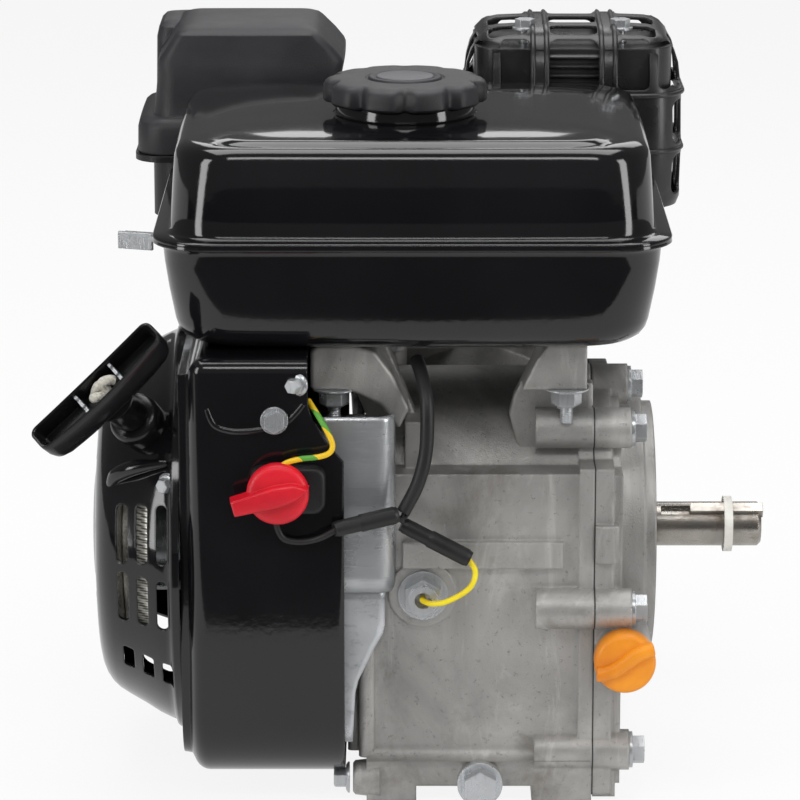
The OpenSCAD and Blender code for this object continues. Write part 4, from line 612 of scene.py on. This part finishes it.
class ENGINE_OT_fuel_cap(bpy.types.Operator):
    """Makes the lobed fuel cap"""

    bl_idname = "engine.fuel_cap"
    bl_label = "Fuel cap"

    # height, radius, share of the lobes' depth
    profile = ((197, 33.4, 1), (197.3, 35.2, 1), (198.4, 36.2, 1), (204.2, 35.9, 1), (205.6, 35.2, 1),
               (206.6, 33.8, 0.9), (207.2, 31.8, 0.55), (207.4, 29.6, 0.15), (207.4, 27, 0), (207.3, 17.6, 0),
               (206.8, 17.1, 0), (206.7, 16.4, 0), (207.4, 16.1, 0), (207.9, 15.6, 0), (207.9, 13.8, 0),
               (207.5, 13.3, 0), (207.4, 12.8, 0), (207.4, 3, 0))
    disc = ((206.9, 12.8), (207.8, 12.7), (208.1, 12.3), (208.2, 11.6), (208.2, 2))

    def execute(self, context):
        lobes = context.scene.engine_pressing.lobes
        steps = lobes * 18
        rings = []
        for z, r, share in self.profile:
            ring = []
            for k in range(steps):
                a = 2 * pi * k / steps
                reach = r - 3.4 * share * (0.5 - 0.5 * cos(lobes * a)) ** 4
                ring.append((CAP[0] + reach * cos(a), CAP[1] + reach * sin(a), z))
            rings.append(ring)
        piece("lobed_fuel_cap", *loft(rings), "grey_plastic", "cap_body", ("fuel_cap",), 40)
        piece("cap_disc", *loft(turned(self.disc, 64, "Z", CAP)), "cap_disc_plastic", "cap_body")
        return {"FINISHED"}


def cowl_hull(inset):
    """The fan cover's outline in Y and Z. A corner that is inset by more than its radius moves in."""
    corners = []
    for y, z, r, start in ((-59, -59, 36, 180), (54, -45, 50, 270), (90, 85, 14, 0), (-89, 93, 6, 90)):
        over = max(0.0, inset - r + 0.5)
        corners.append((y - copysign(over, y), z - copysign(over, z), r - inset + over, start))
    return hull(corners, 18, 8)


def hex_bolt(head, length, centre, facing):
    """A flanged hexagon bolt's head, towards +Z before it is turned to its facing."""
    flange = turned(((0, head * 0.86), (0.7, head * 0.86), (1.6, head * 0.7), (1.7, head * 0.55)), 36, "Z")
    block = []
    for z, r in ((0.4, head * 0.57), (length - 0.8, head * 0.57), (length, head * 0.5)):
        block.append([(r * cos(radians(60 * k)), r * sin(radians(60 * k)), z) for k in range(6)])
    return placed(merge(loft(flange), loft(block)), Matrix.Translation(centre) @ facing)


class ENGINE_OT_fan_cover(bpy.types.Operator):
    """Makes the pressed fan cover round the flywheel and its screws"""

    bl_idname = "engine.fan_cover"
    bl_label = "Fan cover"

    wedge = ((-152.8, 130), (-130, 130), (-130, 49), (-137, 54), (-145, 64), (-150.5, 73), (-152.4, 79), (-152.8, 90))
    emboss = ((-196, 78, 0.2), (-193, 71, 0.5), (-187, 68.4, 0.7), (-180, 68, 0.8), (-170, 69.2, 0.8),
              (-163, 71.2, 0.7), (-158, 75.6, 0.5), (-154.5, 80, 0.2))

    def execute(self, context):
        f = context.scene.engine_pressing.cowl_fillet / MM
        start = COWL[0] + 4.5
        outside = [(COWL[0], 28.0), (COWL[0], 8.0), (start - 1.0, 7.4)]
        outside += [(start + f * (1 - cos(radians(15 * k))), f * (1 - sin(radians(15 * k)))) for k in range(2, 7)]
        outside += [(COWL[0] + 30, 0.0), (COWL[1] - 6, 0.0), (COWL[1] - 3, 0.0), (COWL[1] - 1.0, 0.3),
                    (COWL[1] - 0.3, 1.0)]
        inside = [(x, inset + SHEET) for x, inset in reversed(outside[3:-2])]
        inside[0] = (COWL[1] - 0.3, 1.6)
        inside.append((COWL[0] + SHEET, 28.0))
        rings = [[(x, y, z) for y, z in cowl_hull(inset)] for x, inset in outside + inside]
        cover = piece("fan_cover_pressing", *open_tube(rings + rings[:1]), "black_gloss_paint", replaces=("fan_cover",))
        cut(cover, plain_object("arm_space", *prism(self.wedge, "Y", (-140, -24))))
        tube("cover_emboss", [(x, -94.6 + (0.9 - proud), z) for x, z, proud in self.emboss], 1.5, "black_gloss_paint")
        upper = hex_bolt(6.0, 6, (-157, -93.5, 88.5), turn(90, "X") @ turn(-28, "Y"))
        lower = hex_bolt(8.0, 7.0, (-135.5, -70, -97), turn(-90, "Y"))
        piece("cover_screws", *merge(upper, lower), "zinc_steel", angle=30)
        return {"FINISHED"}


class ENGINE_OT_recoil_housing(bpy.types.Operator):
    """Makes the starter housing with its slots, the screen behind them and the guide of the rope"""

    bl_idname = "engine.recoil_housing"
    bl_label = "Recoil housing"

    # distance from the outer end, radius
    outside = ((1.2, 1), (1.2, 20), (1.4, 26), (2.4, 30), (3, 34), (3.6, 42), (4.2, 54), (4.8, 60), (5.8, 64.5),
               (7.4, 68.2), (9.8, 71.6), (12.6, 74.2), (17, 77), (24, 81), (31, 85.4), (36, 87.8), (38, 88.6),
               (38.6, 89.6), (39, 91), (40, 91.8), (43.2, 91.8))
    guide = ((-26, 9), (-20, 10.8), (-6, 11.6), (-3, 11.5), (-1.2, 10.8), (-0.4, 9.6), (-0.3, 5), (-1.5, 3.9),
             (-16, 3.8))
    brow = ((-239.6, -62, 35.5), (-237, -65.5, 40.5), (-231, -70, 44.6), (-223, -73.6, 47.2), (-214, -76.5, 49))

    def execute(self, context):
        inside = [(a + 0.4, r - 1.6) if r > 64 else (a + 1.4, r) for a, r in reversed(self.outside)]
        inside[0] = (43.2, 90.2)
        profile = [(RECOIL_X + a, max(1.0, r)) for a, r in (*self.outside, *inside)]
        rings = turned(profile, 144)
        housing = piece("recoil_pressing", *open_tube(rings + rings[:1]), "black_gloss_paint",
                        replaces=("recoil_housing",))
        slots = []
        for x in (-234.2, -225.4, -216.6):
            for tilt, half in ((-12.6, 12.8), (8.6, 11.6)):
                slots.append(self.window(x, tilt, 2.4, half, 2.3))
            slots.append(self.window(x + 1.5, 33.0, 2.4, 6.6, 1.2))
        for k in range(6):
            slots.append(self.window(RECOIL_X + 27, 112 + 17 * k, 7.5, 4.6, 4.4))
        for k in range(12):
            face_slot = prism(rounded(-3.4, 44, 3.4, 60, 3.3, 6, 2), "X", (RECOIL_X - 5, RECOIL_X + 9))
            slots.append(placed(face_slot, turn(30 * k + 15, "X")))
        cut(housing, plain_object("slots", *merge(*slots)))
        screen = []
        for x, r in ((-229.2, 76.0), (-225.4, 78.0), (-221.6, 80.0)):
            screen.append([(x, -r * cos(radians(a)), -r * sin(radians(a))) for a in range(-26, 24, 2)])
        piece("starter_screen", *sheet(screen), "screen_steel")
        guide = open_tube(turned(self.guide, 40, "Z"))
        piece("rope_guide", *placed(guide, handle_frame()), "black_gloss_plastic")
        tube("pressed_brow", self.brow, lambda t: 1.2 + 2.4 * sin(pi * min(1, 0.15 + t * 0.85)), "black_gloss_paint")
        screw = hex_bolt(6.0, 5.0, (-213.8, -77.6, 39.8), turn(90, "X") @ turn(-35, "Y"))
        piece("housing_screw", *screw, "zinc_steel", angle=30)
        return {"FINISHED"}

    @staticmethod
    def window(x, tilt, wide, half, r):
        """A cutter for one slot in the side, tilt degrees round from the front."""
        ring = rounded(x - wide, -half, x + wide, half, r, 8, 2)
        return placed(prism(ring, "Y", (-112, -60)), turn(tilt, "X"))


def handle_frame():
    """The handle's own frame: X along its bar, Z the way it is pulled."""
    pull = Vector((-0.35, -0.76, 0.5477)).normalized()
    bar = Vector((0.7221, 0.1572, 0.6797))
    bar = (bar - pull * bar.dot(pull)).normalized()
    matrix = Matrix((bar, pull.cross(bar), pull)).transposed().to_4x4()
    matrix.translation = (RECOIL_X + 22, -0.75 * 88, 0.768 * 88)
    return matrix


class ENGINE_OT_starter_handle(bpy.types.Operator):
    """Makes the T-handle, its clip plates and the knotted rope"""

    bl_idname = "engine.starter_handle"
    bl_label = "Starter handle"

    # half length, half width, place along the pull, corner radius
    skin = ((28, 4.4, 20, 3.6), (31.5, 6.8, 20.8, 4.4), (34, 8, 23.6, 4.6), (34.8, 8.2, 27.5, 4.6),
            (35, 7.6, 33.5, 4.2), (34.9, 7.2, 35.8, 4), (34.5, 6.8, 36.5, 3.6), (34, 6.3, 36.6, 3.2),
            (33.7, 5.9, 36.3, 3), (33.5, 5.7, 35.6, 2.9), (32.8, 5.2, 26.5, 2.6))
    neck = ((0.5, 6.6), (1, 7.8), (3, 8.1), (10, 8), (17, 8.2), (20, 9.4), (23.5, 11.5))
    clip = ((-5.1, 26.6), (5.1, 26.6), (5.1, 35), (3.4, 35), (3.4, 33.6), (1.6, 33.6), (1.6, 35), (-1.6, 35),
            (-1.6, 33.6), (-3.4, 33.6), (-3.4, 35), (-5.1, 35))

    def execute(self, context):
        to_handle = handle_frame()
        rings = [[(x, y * (1.0 - 0.16 * (x / 34) ** 2), z + 0.002 * x * x) for x, y in rounded(-a, -b, a, b, r, 10, 10)]
                 for a, b, z, r in self.skin]
        bar = placed(loft(rings), to_handle)
        neck = placed(loft(turned(self.neck, 40, "Z")), to_handle)
        piece("handle_moulding", *merge(bar, neck), "black_gloss_plastic", "handle", ("starter_handle",), 45)
        plates = [prism(self.clip, "X", (x - 0.7, x + 0.7)) for x in (-10, 10)]
        piece("clip_plates", *placed(merge(*plates), to_handle), "zinc_steel", "handle")
        knot = [(3.3 * cos(t) - 1.2, 2.3 * sin(t), 31.4 + 1.6 * sin(2 * t)) for t in (pi * i / 6 for i in range(14))]
        route = [(0, 0, 25), (0.4, 0.2, 28.5), *knot, (3.2, 1.0, 34.0), (5.6, 0.2, 33.2), (7.0, -0.6, 31.6)]
        rings = tube_rings(smooth_route(route, 4), 2.2, 12)
        piece("rope_knot", *placed(loft(rings), to_handle), "rope_fibre", "handle")
        profile = [(-16 + k, 2.4) for k in range(43)]
        rope = plain_object("rope_run", *placed(loft(turned(profile, 14, "Z")), to_handle))
        smooth(rope.data, 180)
        rope.data.materials.append(FINISHES["rope_fibre"])
        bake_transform(rope)
        return {"FINISHED"}


class ENGINE_OT_air_cleaner(bpy.types.Operator):
    """Makes the air cleaner's cover, with its chamfered shoulders and the latch housing behind"""

    bl_idname = "engine.air_cleaner"
    bl_label = "Air cleaner"

    # height, inset at the left, front, right and back, corner radius
    rows = ((150.2, 2, 1.4, 0.6, 1, 12), (151.6, 1.4, 0.6, 0.2, 0.4, 13), (162.5, 1.6, 0.8, 0.4, 0.6, 13),
            (165, 2.2, 1.4, 0.8, 1.2, 13), (166.6, 4, 2.6, 1.4, 2.4, 13), (167.4, 6.6, 3.8, 1.6, 4, 12),
            (167.9, 8.6, 4.6, 1.8, 5, 11), (169, 9.2, 5, 1.6, 5.4, 10), (180, 10.4, 5, 0.6, 5.4, 9),
            (186, 11, 4.6, 0, 5.2, 9), (193, 11.2, 5.2, -1.4, 6, 7), (195, 12, 5.6, -0.6, 6.8, 6),
            (200, 15.4, 6, 3.4, 8.6, 5), (206.2, 19.4, 6.8, 9.4, 11, 4.5), (208, 21.4, 8.4, 11.2, 13.6, 5),
            (209.2, 24.2, 12, 13.6, 17, 6), (210.2, 29, 20, 18, 24, 6), (210.6, 38, 34, 26, 34, 5))

    def execute(self, context):
        cover = [[(x, y, z) for x, y in rounded(-238 + a, 101 + b, -141 - c, 189 - d, r, 8, 8, 0.5)]
                 for z, a, b, c, d, r in self.rows]
        behind = [[(x, y, z) for x, y in rounded(-230 + g, 140 + g, -205, 187 - g, 6, 8, 4)]
                  for z, g in ((166, 0.4), (200, 1.0), (204.5, 2.0), (206.6, 4.0), (207.4, 8.0))]
        piece("air_cleaner_lid", *merge(loft(cover), loft(behind)), "grey_plastic", replaces=("air_cleaner_cover",),
              angle=30)
        return {"FINISHED"}


class ENGINE_OT_muffler_guard(bpy.types.Operator):
    """Makes the guard of the muffler, a pressed basket with rows of windows"""

    bl_idname = "engine.muffler_guard"
    bl_label = "Muffler guard"

    # height, inset; then the windows' ends, and their corner radius where it differs
    rows = ((121.6, 16), (121.8, 6), (123.2, 2.6), (127, 1.2), (150, 0.6), (178, 1), (190, 2.4), (196, 4.2), (200, 6.6),
            (203.4, 9.6), (205.4, 13), (206.4, 17), (206.8, 24), (207, 34))
    front = ((-77.5, -69.5, 5), (-66, -52, 3), (-43, -19.8, 4), (-10.8, 4, 3), (8, 15.5, 5))
    sides = ((115, 130, 4), (136, 152, 3), (158, 180, 4))
    top = ((-71.5, -53.5), (-42.5, -20), (-10, 7.5))
    spine = ((108, 177), (108.6, 186), (110.4, 193), (113.4, 198.6), (118.5, 203.4), (126, 206.2), (140, 207.2),
             (160, 207.9), (172, 208.2))
    louvre = ((0.6, -1.6), (-0.6, -1.5), (-2.2, -0.6), (-2.4, 0.2), (-1.2, 1), (0.6, 1.6))

    def shell(self, inset):
        """The basket's rings, inset by the thickness of its sheet for the inside."""
        rings = []
        for z, step in self.rows:
            s = step + inset
            drop = inset if z > 195 else -inset if z < 123 else 0.0
            lift = 0.045 if z > 195 else 0.0
            rings.append([(x, y, z - drop + lift * (y - 140))
                          for x, y in rounded(-84 + s, 108 + s, 21 - s, 188 - s, max(3.0, 19 - s * 0.6), 10, 8)])
        return rings

    def execute(self, context):
        guard = piece("guard_basket", *loft(self.shell(0.0)), "black_heat_paint", replaces=("muffler_guard",), angle=35)
        cut(guard, plain_object("inside", *loft(self.shell(SHEET))))
        across, down, along = [], [], []
        for x0, x1, r in self.front:
            across.append(prism(rounded(x0, 180, x1, 202.6 - (2.5 if r == 5 else 0), r, 5, 2), "Y", (90, 205)))
        for x0, x1 in self.top:
            for y0, y1 in ((121, 135), (142, 157), (164, 178)):
                down.append(prism(rounded(x0, y0, x1, y1, 3.5, 5, 2), "Z", (198, 220)))
        for y0, y1, r in self.sides:
            for z0, z1 in ((129, 148), (153, 174), (180, 201)):
                along.append(prism(rounded(y0, z0, y1, z1, r, 5, 2), "X", (-100, 40)))
        for windows in (across, down, along):
            cut(guard, plain_object("windows", *merge(*windows)))
        ribs = []
        for x in (-47.5, -15.3):
            for side in (-3.2, 3.2):
                rib = smooth_route([(x + side, y, z) for y, z in self.spine], 4)
                ribs.append(loft(tube_rings(rib, lambda t: 1.3 if 0.04 < t < 0.96 else 0.6, 12)))
        ribs += [open_tube(self.hoop(z, r)) for z, r in ((177.4, 1.2), (150.6, 1.1))]
        piece("guard_ribs", *merge(*ribs), "black_heat_paint")
        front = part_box("muffler")[0][1] / MM
        louvres = []
        for k in range(9):
            z = 160 + 4.4 * k
            louvres.append(loft([[(x, front + 0.5 + (y - 0.5) * s, z + up * s) for y, up in self.louvre]
                                 for x, s in ((-47, 0.3), (-44.5, 1.0), (-18.5, 1.0), (-16, 0.3))]))
        piece("muffler_louvres", *merge(*louvres), "black_heat_paint")
        return {"FINISHED"}

    @staticmethod
    def hoop(z, r):
        """A half-round bead pressed all round the basket."""
        line = [Vector((x, y, z)) for x, y in rounded(-83.4, 108.6, 20.4, 187.4, 18.6, 10, 8)]
        rings = tube_rings(line + line[:1], r, 10)
        return rings[:-1] + rings[:1]


class ENGINE_OT_stop_switch(bpy.types.Operator):
    """Makes the stop switch's backplate and its red knob"""

    bl_idname = "engine.stop_switch"
    bl_label = "Stop switch"

    disc = ((0.4, 12.6), (1, 13.4), (4.6, 13.4), (5.8, 12.9), (6.6, 11.9), (7, 10.4), (7.2, 6))

    def execute(self, context):
        cx, _, cz = SWITCH
        plate = []
        for y, grow in ((-95.2, 0.0), (-99.6, -0.2), (-100.6, -0.8), (-101.0, -1.8)):
            outline = rounded(-12 - grow, -10.6 - grow, 20.5 + grow, 10.6 + grow, 5, 8, 4)
            plate.append([(cx + x, y, cz + z) for x, z in outline])
        piece("switch_plate", *loft(plate), "black_plastic", replaces=("switch_body",))
        disc = loft(turned(self.disc, 72, "-Y", SWITCH))
        bar = []
        for y, grow in ((3.0, 0.4), (9.0, 0.0), (10.4, -0.2), (11.0, -0.8), (11.2, -1.6)):
            shape = ((-20 - grow, -3.6 - grow), (0, -4.6 - grow), (8, -3.6 - grow), (14 + grow, 0), (8, 3.6 + grow),
                     (0, 4.6 + grow), (-20 - grow, 3.6 + grow))
            bar.append([(x, -y, z) for x, z in shape])
        tilt = Matrix.Translation(SWITCH) @ turn(-15, "Y")
        knob = piece("knob_moulding", *merge(disc, placed(loft(bar), tilt)), "red_plastic", "switch_knob",
                     ("stop_knob",), 30)
        soften(knob, 0.5, 3, 40)
        return {"FINISHED"}


class ENGINE_OT_wires(bpy.types.Operator):
    """Makes the wires, the harness tube and the bullet connectors"""

    bl_idname = "engine.wires"
    bl_label = "Wires"

    harness = ((-106, -62, 92), (-103, -72, 84), (-101.5, -79, 74), (-102, -82, 56), (-105.5, -84.5, 42),
               (-112, -88.5, 30))
    plug_a = ((-141.5, -100.5, 26), (-114.5, -91, 30))
    plug_b = ((-112.5, -85, 24), (-83, -86, 8.5))
    switch_lead = ((-140, -100.2, 26.2), (-146, -100.2, 22.8), (-151.5, -99, 20.6), (-158.1, -98, 19.8),
                   (-163.4, -98, 21.4), (-166, -98.5, 26.5), (-166.4, -99, 31))
    sensor = ((-84, -86, 9), (-80.5, -86.5, 3), (-83, -88, -4), (-92, -90.5, -9), (-99, -88.5, -11), (-103.2, -84, -11),
              (-103.2, -79.6, -11))
    earth = ((-152.5, -88, 80), (-147, -96.5, 73.4), (-143.2, -99, 66.8), (-142, -100, 62.6), (-144, -100.5, 59.6),
             (-149.3, -101, 58.2), (-154.8, -101.5, 57.8), (-160.3, -102, 56.6), (-164, -102.8, 54.6),
             (-165.4, -103, 51))

    @staticmethod
    def sleeve(t):
        end = 1.0 if 0.03 < t < 0.97 else 0.9
        return end * (3.5 if t < 0.42 else 3.9)

    def execute(self, context):
        thin = context.scene.engine_pressing.wire / MM
        tube("harness_tube", self.harness, 3.1, "black_rubber", replaces=("stop_wire",))
        for name, (a, b) in (("bullet_sleeve_a", self.plug_a), ("bullet_sleeve_b", self.plug_b)):
            a, b = Vector(a), Vector(b)
            piece(name, *loft(tube_rings([a + (b - a) * k / 40 for k in range(41)], self.sleeve, 20)), "black_rubber")
        tube("switch_lead", self.switch_lead, thin + 0.15, "black_rubber")
        for k, (dx, dz) in enumerate(((0, 0), (1.6, 1.4))):
            tail = ((-111 + dx, -88.5, 31.5 + dz), (-112.2 + dx, -89, 28.5), (-113.6, -88.6, 27 + dz / 2),
                    (-115 + 4 * k, -89.5 + 3 * k, 29.4 - 5 * k))
            tube("tail_lead_%d" % (k + 1), tail, 0.9, "black_rubber")
        tube("sensor_lead", self.sensor, thin, "yellow_cover", replaces=("sensor_wire",))
        tube("earth_lead", self.earth, thin, "green_yellow_cover", replaces=("ground_wire",))
        return {"FINISHED"}


class ENGINE_OT_side_baffle(bpy.types.Operator):
    """Makes the zinc baffle beside the fan cover: a rolled upper sheet over a flat lower one"""

    bl_idname = "engine.side_baffle"
    bl_label = "Side baffle"

    edge = ((-7, -119.5), (-13, -119.6), (-24, -119.8), (-28, -120.6), (-34, -124), (-50, -131.6), (-55, -132.8),
            (-70, -133.6), (-78, -134))

    @staticmethod
    def rolled(x, z):
        """Y of the upper sheet, rolled back along its right and lower edges."""
        right = min(1.0, max(0.0, (x + 123.5) / 7.6))
        low = min(1.0, max(0.0, (-1.0 - z) / 8.6))
        return -82.0 + 8.0 * (1 - sqrt(1 - 0.985 * right * right)) + 8.0 * (1 - sqrt(1 - 0.985 * low * low))

    def execute(self, context):
        columns = [-147 + 23 * k / 12 for k in range(12)] + [-124 + 8.2 * k / 10 for k in range(11)]
        rows = [71 - 70 * i / 30 for i in range(30)] + [1 - 10.6 * i / 12 for i in range(13)]
        upper = sheet([[(x, self.rolled(x, z), z) for x in columns] for z in rows])
        lower = sheet([[(-147 + (right + 147) * k / 8, -76.6, z) for k in range(9)] for z, right in self.edge])
        for made in (piece("baffle_sheet", *upper, "brushed_zinc", replaces=("side_baffle",), angle=60),
                     piece("baffle_skirt", *lower, "pale_zinc", angle=60)):
            wall = made.modifiers.new("wall", "SOLIDIFY")
            wall.thickness, wall.offset = 1.2 * MM, 0
        return {"FINISHED"}


class ENGINE_OT_case_details(bpy.types.Operator):
    """Makes the cast webs, gussets and bosses of the crankcase, and the dipstick's head"""

    bl_idname = "engine.case_details"
    bl_label = "Case details"

    left_arm = ((-152, 79.5), (-152.2, 97), (-149.5, 99.2), (-133.2, 99.4), (-124.1, 97), (-116.3, 86.2),
                (-109.1, 71.4), (-113.7, 61.9), (-116.9, 65.7), (-121.5, 72.7), (-130.6, 77.4), (-136.5, 79.5))
    right_boss = ((-32.1, 79.6), (-32.1, 99.6), (-48.6, 99.6), (-53.9, 92.8), (-59.7, 80.7), (-60, 79.6))
    right_gusset = ((-53.5, 93.6), (-59.7, 80.7), (-63.5, 72.7), (-65.4, 64.6), (-62.1, 52.4), (-58.7, 40.8),
                    (-28.4, 40.8), (-28.4, 54.6), (-30.4, 56.6), (-30.4, 66), (-28.6, 68), (-28.6, 78.9), (-50, 78.9),
                    (-50, 93.6))
    head = ((-6, 9.5), (-5.4, 12.6), (-4.6, 13.4), (3, 13.5), (4.6, 13.2), (5.6, 12.4), (6, 11.2), (6, 4))
    grip = ((-27.6, -93, -41.6), (-24.5, -93.4, -41.4), (-20, -93.6, -39.8), (-15.2, -93.6, -36.6), (-11, -93.6, -33.2),
            (-7, -93.4, -31.2), (-2.8, -93, -30.2))

    def execute(self, context):
        webs = (("left_arm_web", self.left_arm, -69, 3.2), ("right_arm_boss", self.right_boss, -68, 3.2),
                ("right_arm_web", self.right_gusset, -52.0, 2.4))
        for name, shape, front, width in webs:
            web = piece(name, *prism(shape, "Y", (front, -44)), "cast_aluminium", angle=30)
            soften(web, width, 4, 30)
        studs = []
        thread = [(-8 - 0.5 * k, 3.0 if k % 2 else 2.6) for k in range(17)]
        for place in STUDS:
            studs += [hex_bolt(11.5, 8.0, place, turn(180, "X")), loft(turned(thread, 20, "Z", place))]
        piece("arm_stud_nuts", *merge(*studs), "zinc_steel", angle=30)
        fillet = []
        for k in range(9):
            a = radians(90 * k / 8)
            fillet.append([(x, -79.0 + 6 * sin(a), -86.6 + 6 * (1 - cos(a))) for x in (-127.6, -29.0)])
        piece("foot_fillet", *sheet(fillet), "cast_aluminium")
        step = prism(rounded(-131.4, -75.4, -124, -34, 3, 4, 2), "Z", (-86, -84, -34, -30))
        back = prism(rounded(-136.4, -60, -124, -30, 2, 4, 2), "Z", (-88, -30))
        piece("case_side_web", *merge(step, back), "cast_aluminium", angle=30)
        lug = loft(turned(((-134, 6.4), (-133, 7.6), (-126, 8.4), (-122, 9.0)), 36, "X", (0, -70, -97)))
        piece("foot_boss", *lug, "cast_aluminium")
        head = loft(turned(self.head, 64, "-Y", DIPSTICK))
        grip = loft(tube_rings(smooth_route(self.grip, 6), lambda t: 3.4 if 0.02 < t < 0.98 else 2.4, 16))
        piece("dipstick_head", *merge(head, grip), "orange_plastic", "dipstick_body", ("dipstick",), 45)
        return {"FINISHED"}


class ENGINE_OT_stage(bpy.types.Operator):
    """Makes the floor, the lamps and the camera"""

    bl_idname = "engine.stage"
    bl_label = "Stage"

    # name, place, target, width, height, watts
    lamps = (
        ("top", (-0.1, 0.15, 1.3), (-0.1, 0, 0), 1.3, 0.9, 13),
        ("left", (-1.3, -0.8, 0.45), (-0.1, -0.05, 0.02), 0.35, 1.1, 7),
        ("right", (1.2, -0.7, 0.4), (-0.08, -0.05, 0.02), 0.35, 1.1, 7),
        ("front", (-0.1, -1.5, 1.5), (-0.1, 0, 0), 1.1, 0.35, 7.5),
        ("back", (0.1, 1.4, 1), (-0.1, 0, 0.05), 1.2, 0.6, 4),
    )

    def execute(self, context):
        s = context.scene.engine_stage
        scene = context.scene
        camera = linked("camera", bpy.data.cameras.new("camera"))
        camera.location = s.camera
        camera.rotation_euler = (s.tilt, 0, 0)
        camera.data.lens, camera.data.sensor_width = s.lens, 36
        camera.data.clip_end = 100
        scene.camera = camera
        scene.view_settings.view_transform = "Standard"

        world = bpy.data.worlds.new("studio")
        world.use_nodes = True
        sky = Nodes(world.node_tree)
        seen = sky.node("ShaderNodeLightPath", {}, out="Is Camera Ray")
        gloss = sky.node("ShaderNodeLightPath", {}, out="Is Glossy Ray")
        # The camera sees it nearly white, gloss sees it dim, and the rest is fill light.
        light = sky.node("ShaderNodeBackground", {}, (1, 1, 1), seen * 0.62 + gloss * -0.24 + 0.36 * s.light)
        sky.node("ShaderNodeOutputWorld", {}, light)
        scene.world = world

        for name, where, target, wide, tall, power in self.lamps:
            lamp = bpy.data.lights.new(name, "AREA")
            lamp.shape, lamp.size, lamp.size_y, lamp.energy = "RECTANGLE", wide, tall, power * s.light
            made = linked(name, lamp)
            made.location = where
            made.rotation_euler = (Vector(target) - Vector(where)).to_track_quat("-Z", "Y").to_euler()

        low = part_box("crankcase")[0][2]
        mesh = bpy.data.meshes.new("floor")
        mesh.from_pydata([(x, y, low - 0.0002) for x, y in ((-9, -9), (9, -9), (9, 14), (-9, 14))], [], [(0, 1, 2, 3)])
        floor = linked("floor", mesh)
        f = Finish("pale_floor")
        seen = f.node("ShaderNodeLightPath", {}, out="Is Camera Ray")
        gloss = f.node("ShaderNodeLightPath", {}, out="Is Glossy Ray")
        near = f.node("ShaderNodeSeparateXYZ", {}, f.place, out=1).above(-0.37)
        f.shade(Base_Color=(0.8, 0.8, 0.8), Roughness=f.noise(3, 2) * 0.1 + 0.7)
        glow = f.node("ShaderNodeEmission", {}, (1, 1, 1), seen + gloss * near * 0.7)
        # To the camera it is nearly all plain white, which the shadow still darkens.
        both = f.node("ShaderNodeMixShader", {}, seen * 0.88 + gloss * 0.95, f.surface, glow)
        f.feed(f.output.inputs[0], both)
        mesh.materials.append(f.material)
        return {"FINISHED"}


OPERATORS = (ENGINE_OT_stage, ENGINE_OT_finishes, ENGINE_OT_fuel_tank, ENGINE_OT_fuel_cap, ENGINE_OT_fan_cover,
             ENGINE_OT_recoil_housing, ENGINE_OT_starter_handle, ENGINE_OT_air_cleaner, ENGINE_OT_muffler_guard,
             ENGINE_OT_stop_switch, ENGINE_OT_wires, ENGINE_OT_side_baffle, ENGINE_OT_case_details)


class ENGINE_PT_panel(bpy.types.Panel):
    """Lists the engine's settings and the operators that make its pieces"""

    bl_label = "Small Petrol Engine"
    bl_idname = "ENGINE_PT_panel"
    bl_space_type = "VIEW_3D"
    bl_region_type = "UI"
    bl_category = "Engine"

    def draw(self, context):
        for operator in OPERATORS:
            self.layout.operator(operator.bl_idname)
        for group in (context.scene.engine_finish, context.scene.engine_pressing, context.scene.engine_stage):
            column = self.layout.column()
            for name in group.bl_rna.properties.keys():
                if name not in ("rna_type", "name"):
                    column.prop(group, name)


GROUPS = {"engine_finish": EngineFinishSettings, "engine_pressing": EnginePressingSettings,
          "engine_stage": EngineStageSettings}


def register():
    for cls in (*GROUPS.values(), *OPERATORS, ENGINE_PT_panel):
        bpy.utils.register_class(cls)
    for name, group in GROUPS.items():
        setattr(bpy.types.Scene, name, PointerProperty(type=group))


def unregister():
    for name in GROUPS:
        delattr(bpy.types.Scene, name)
    for cls in reversed((*GROUPS.values(), *OPERATORS, ENGINE_PT_panel)):
        bpy.utils.unregister_class(cls)


def main():
    register()
    for operator in OPERATORS:
        group, name = operator.bl_idname.split(".")
        getattr(getattr(bpy.ops, group), name)()


if __name__ == "__main__":
    main()
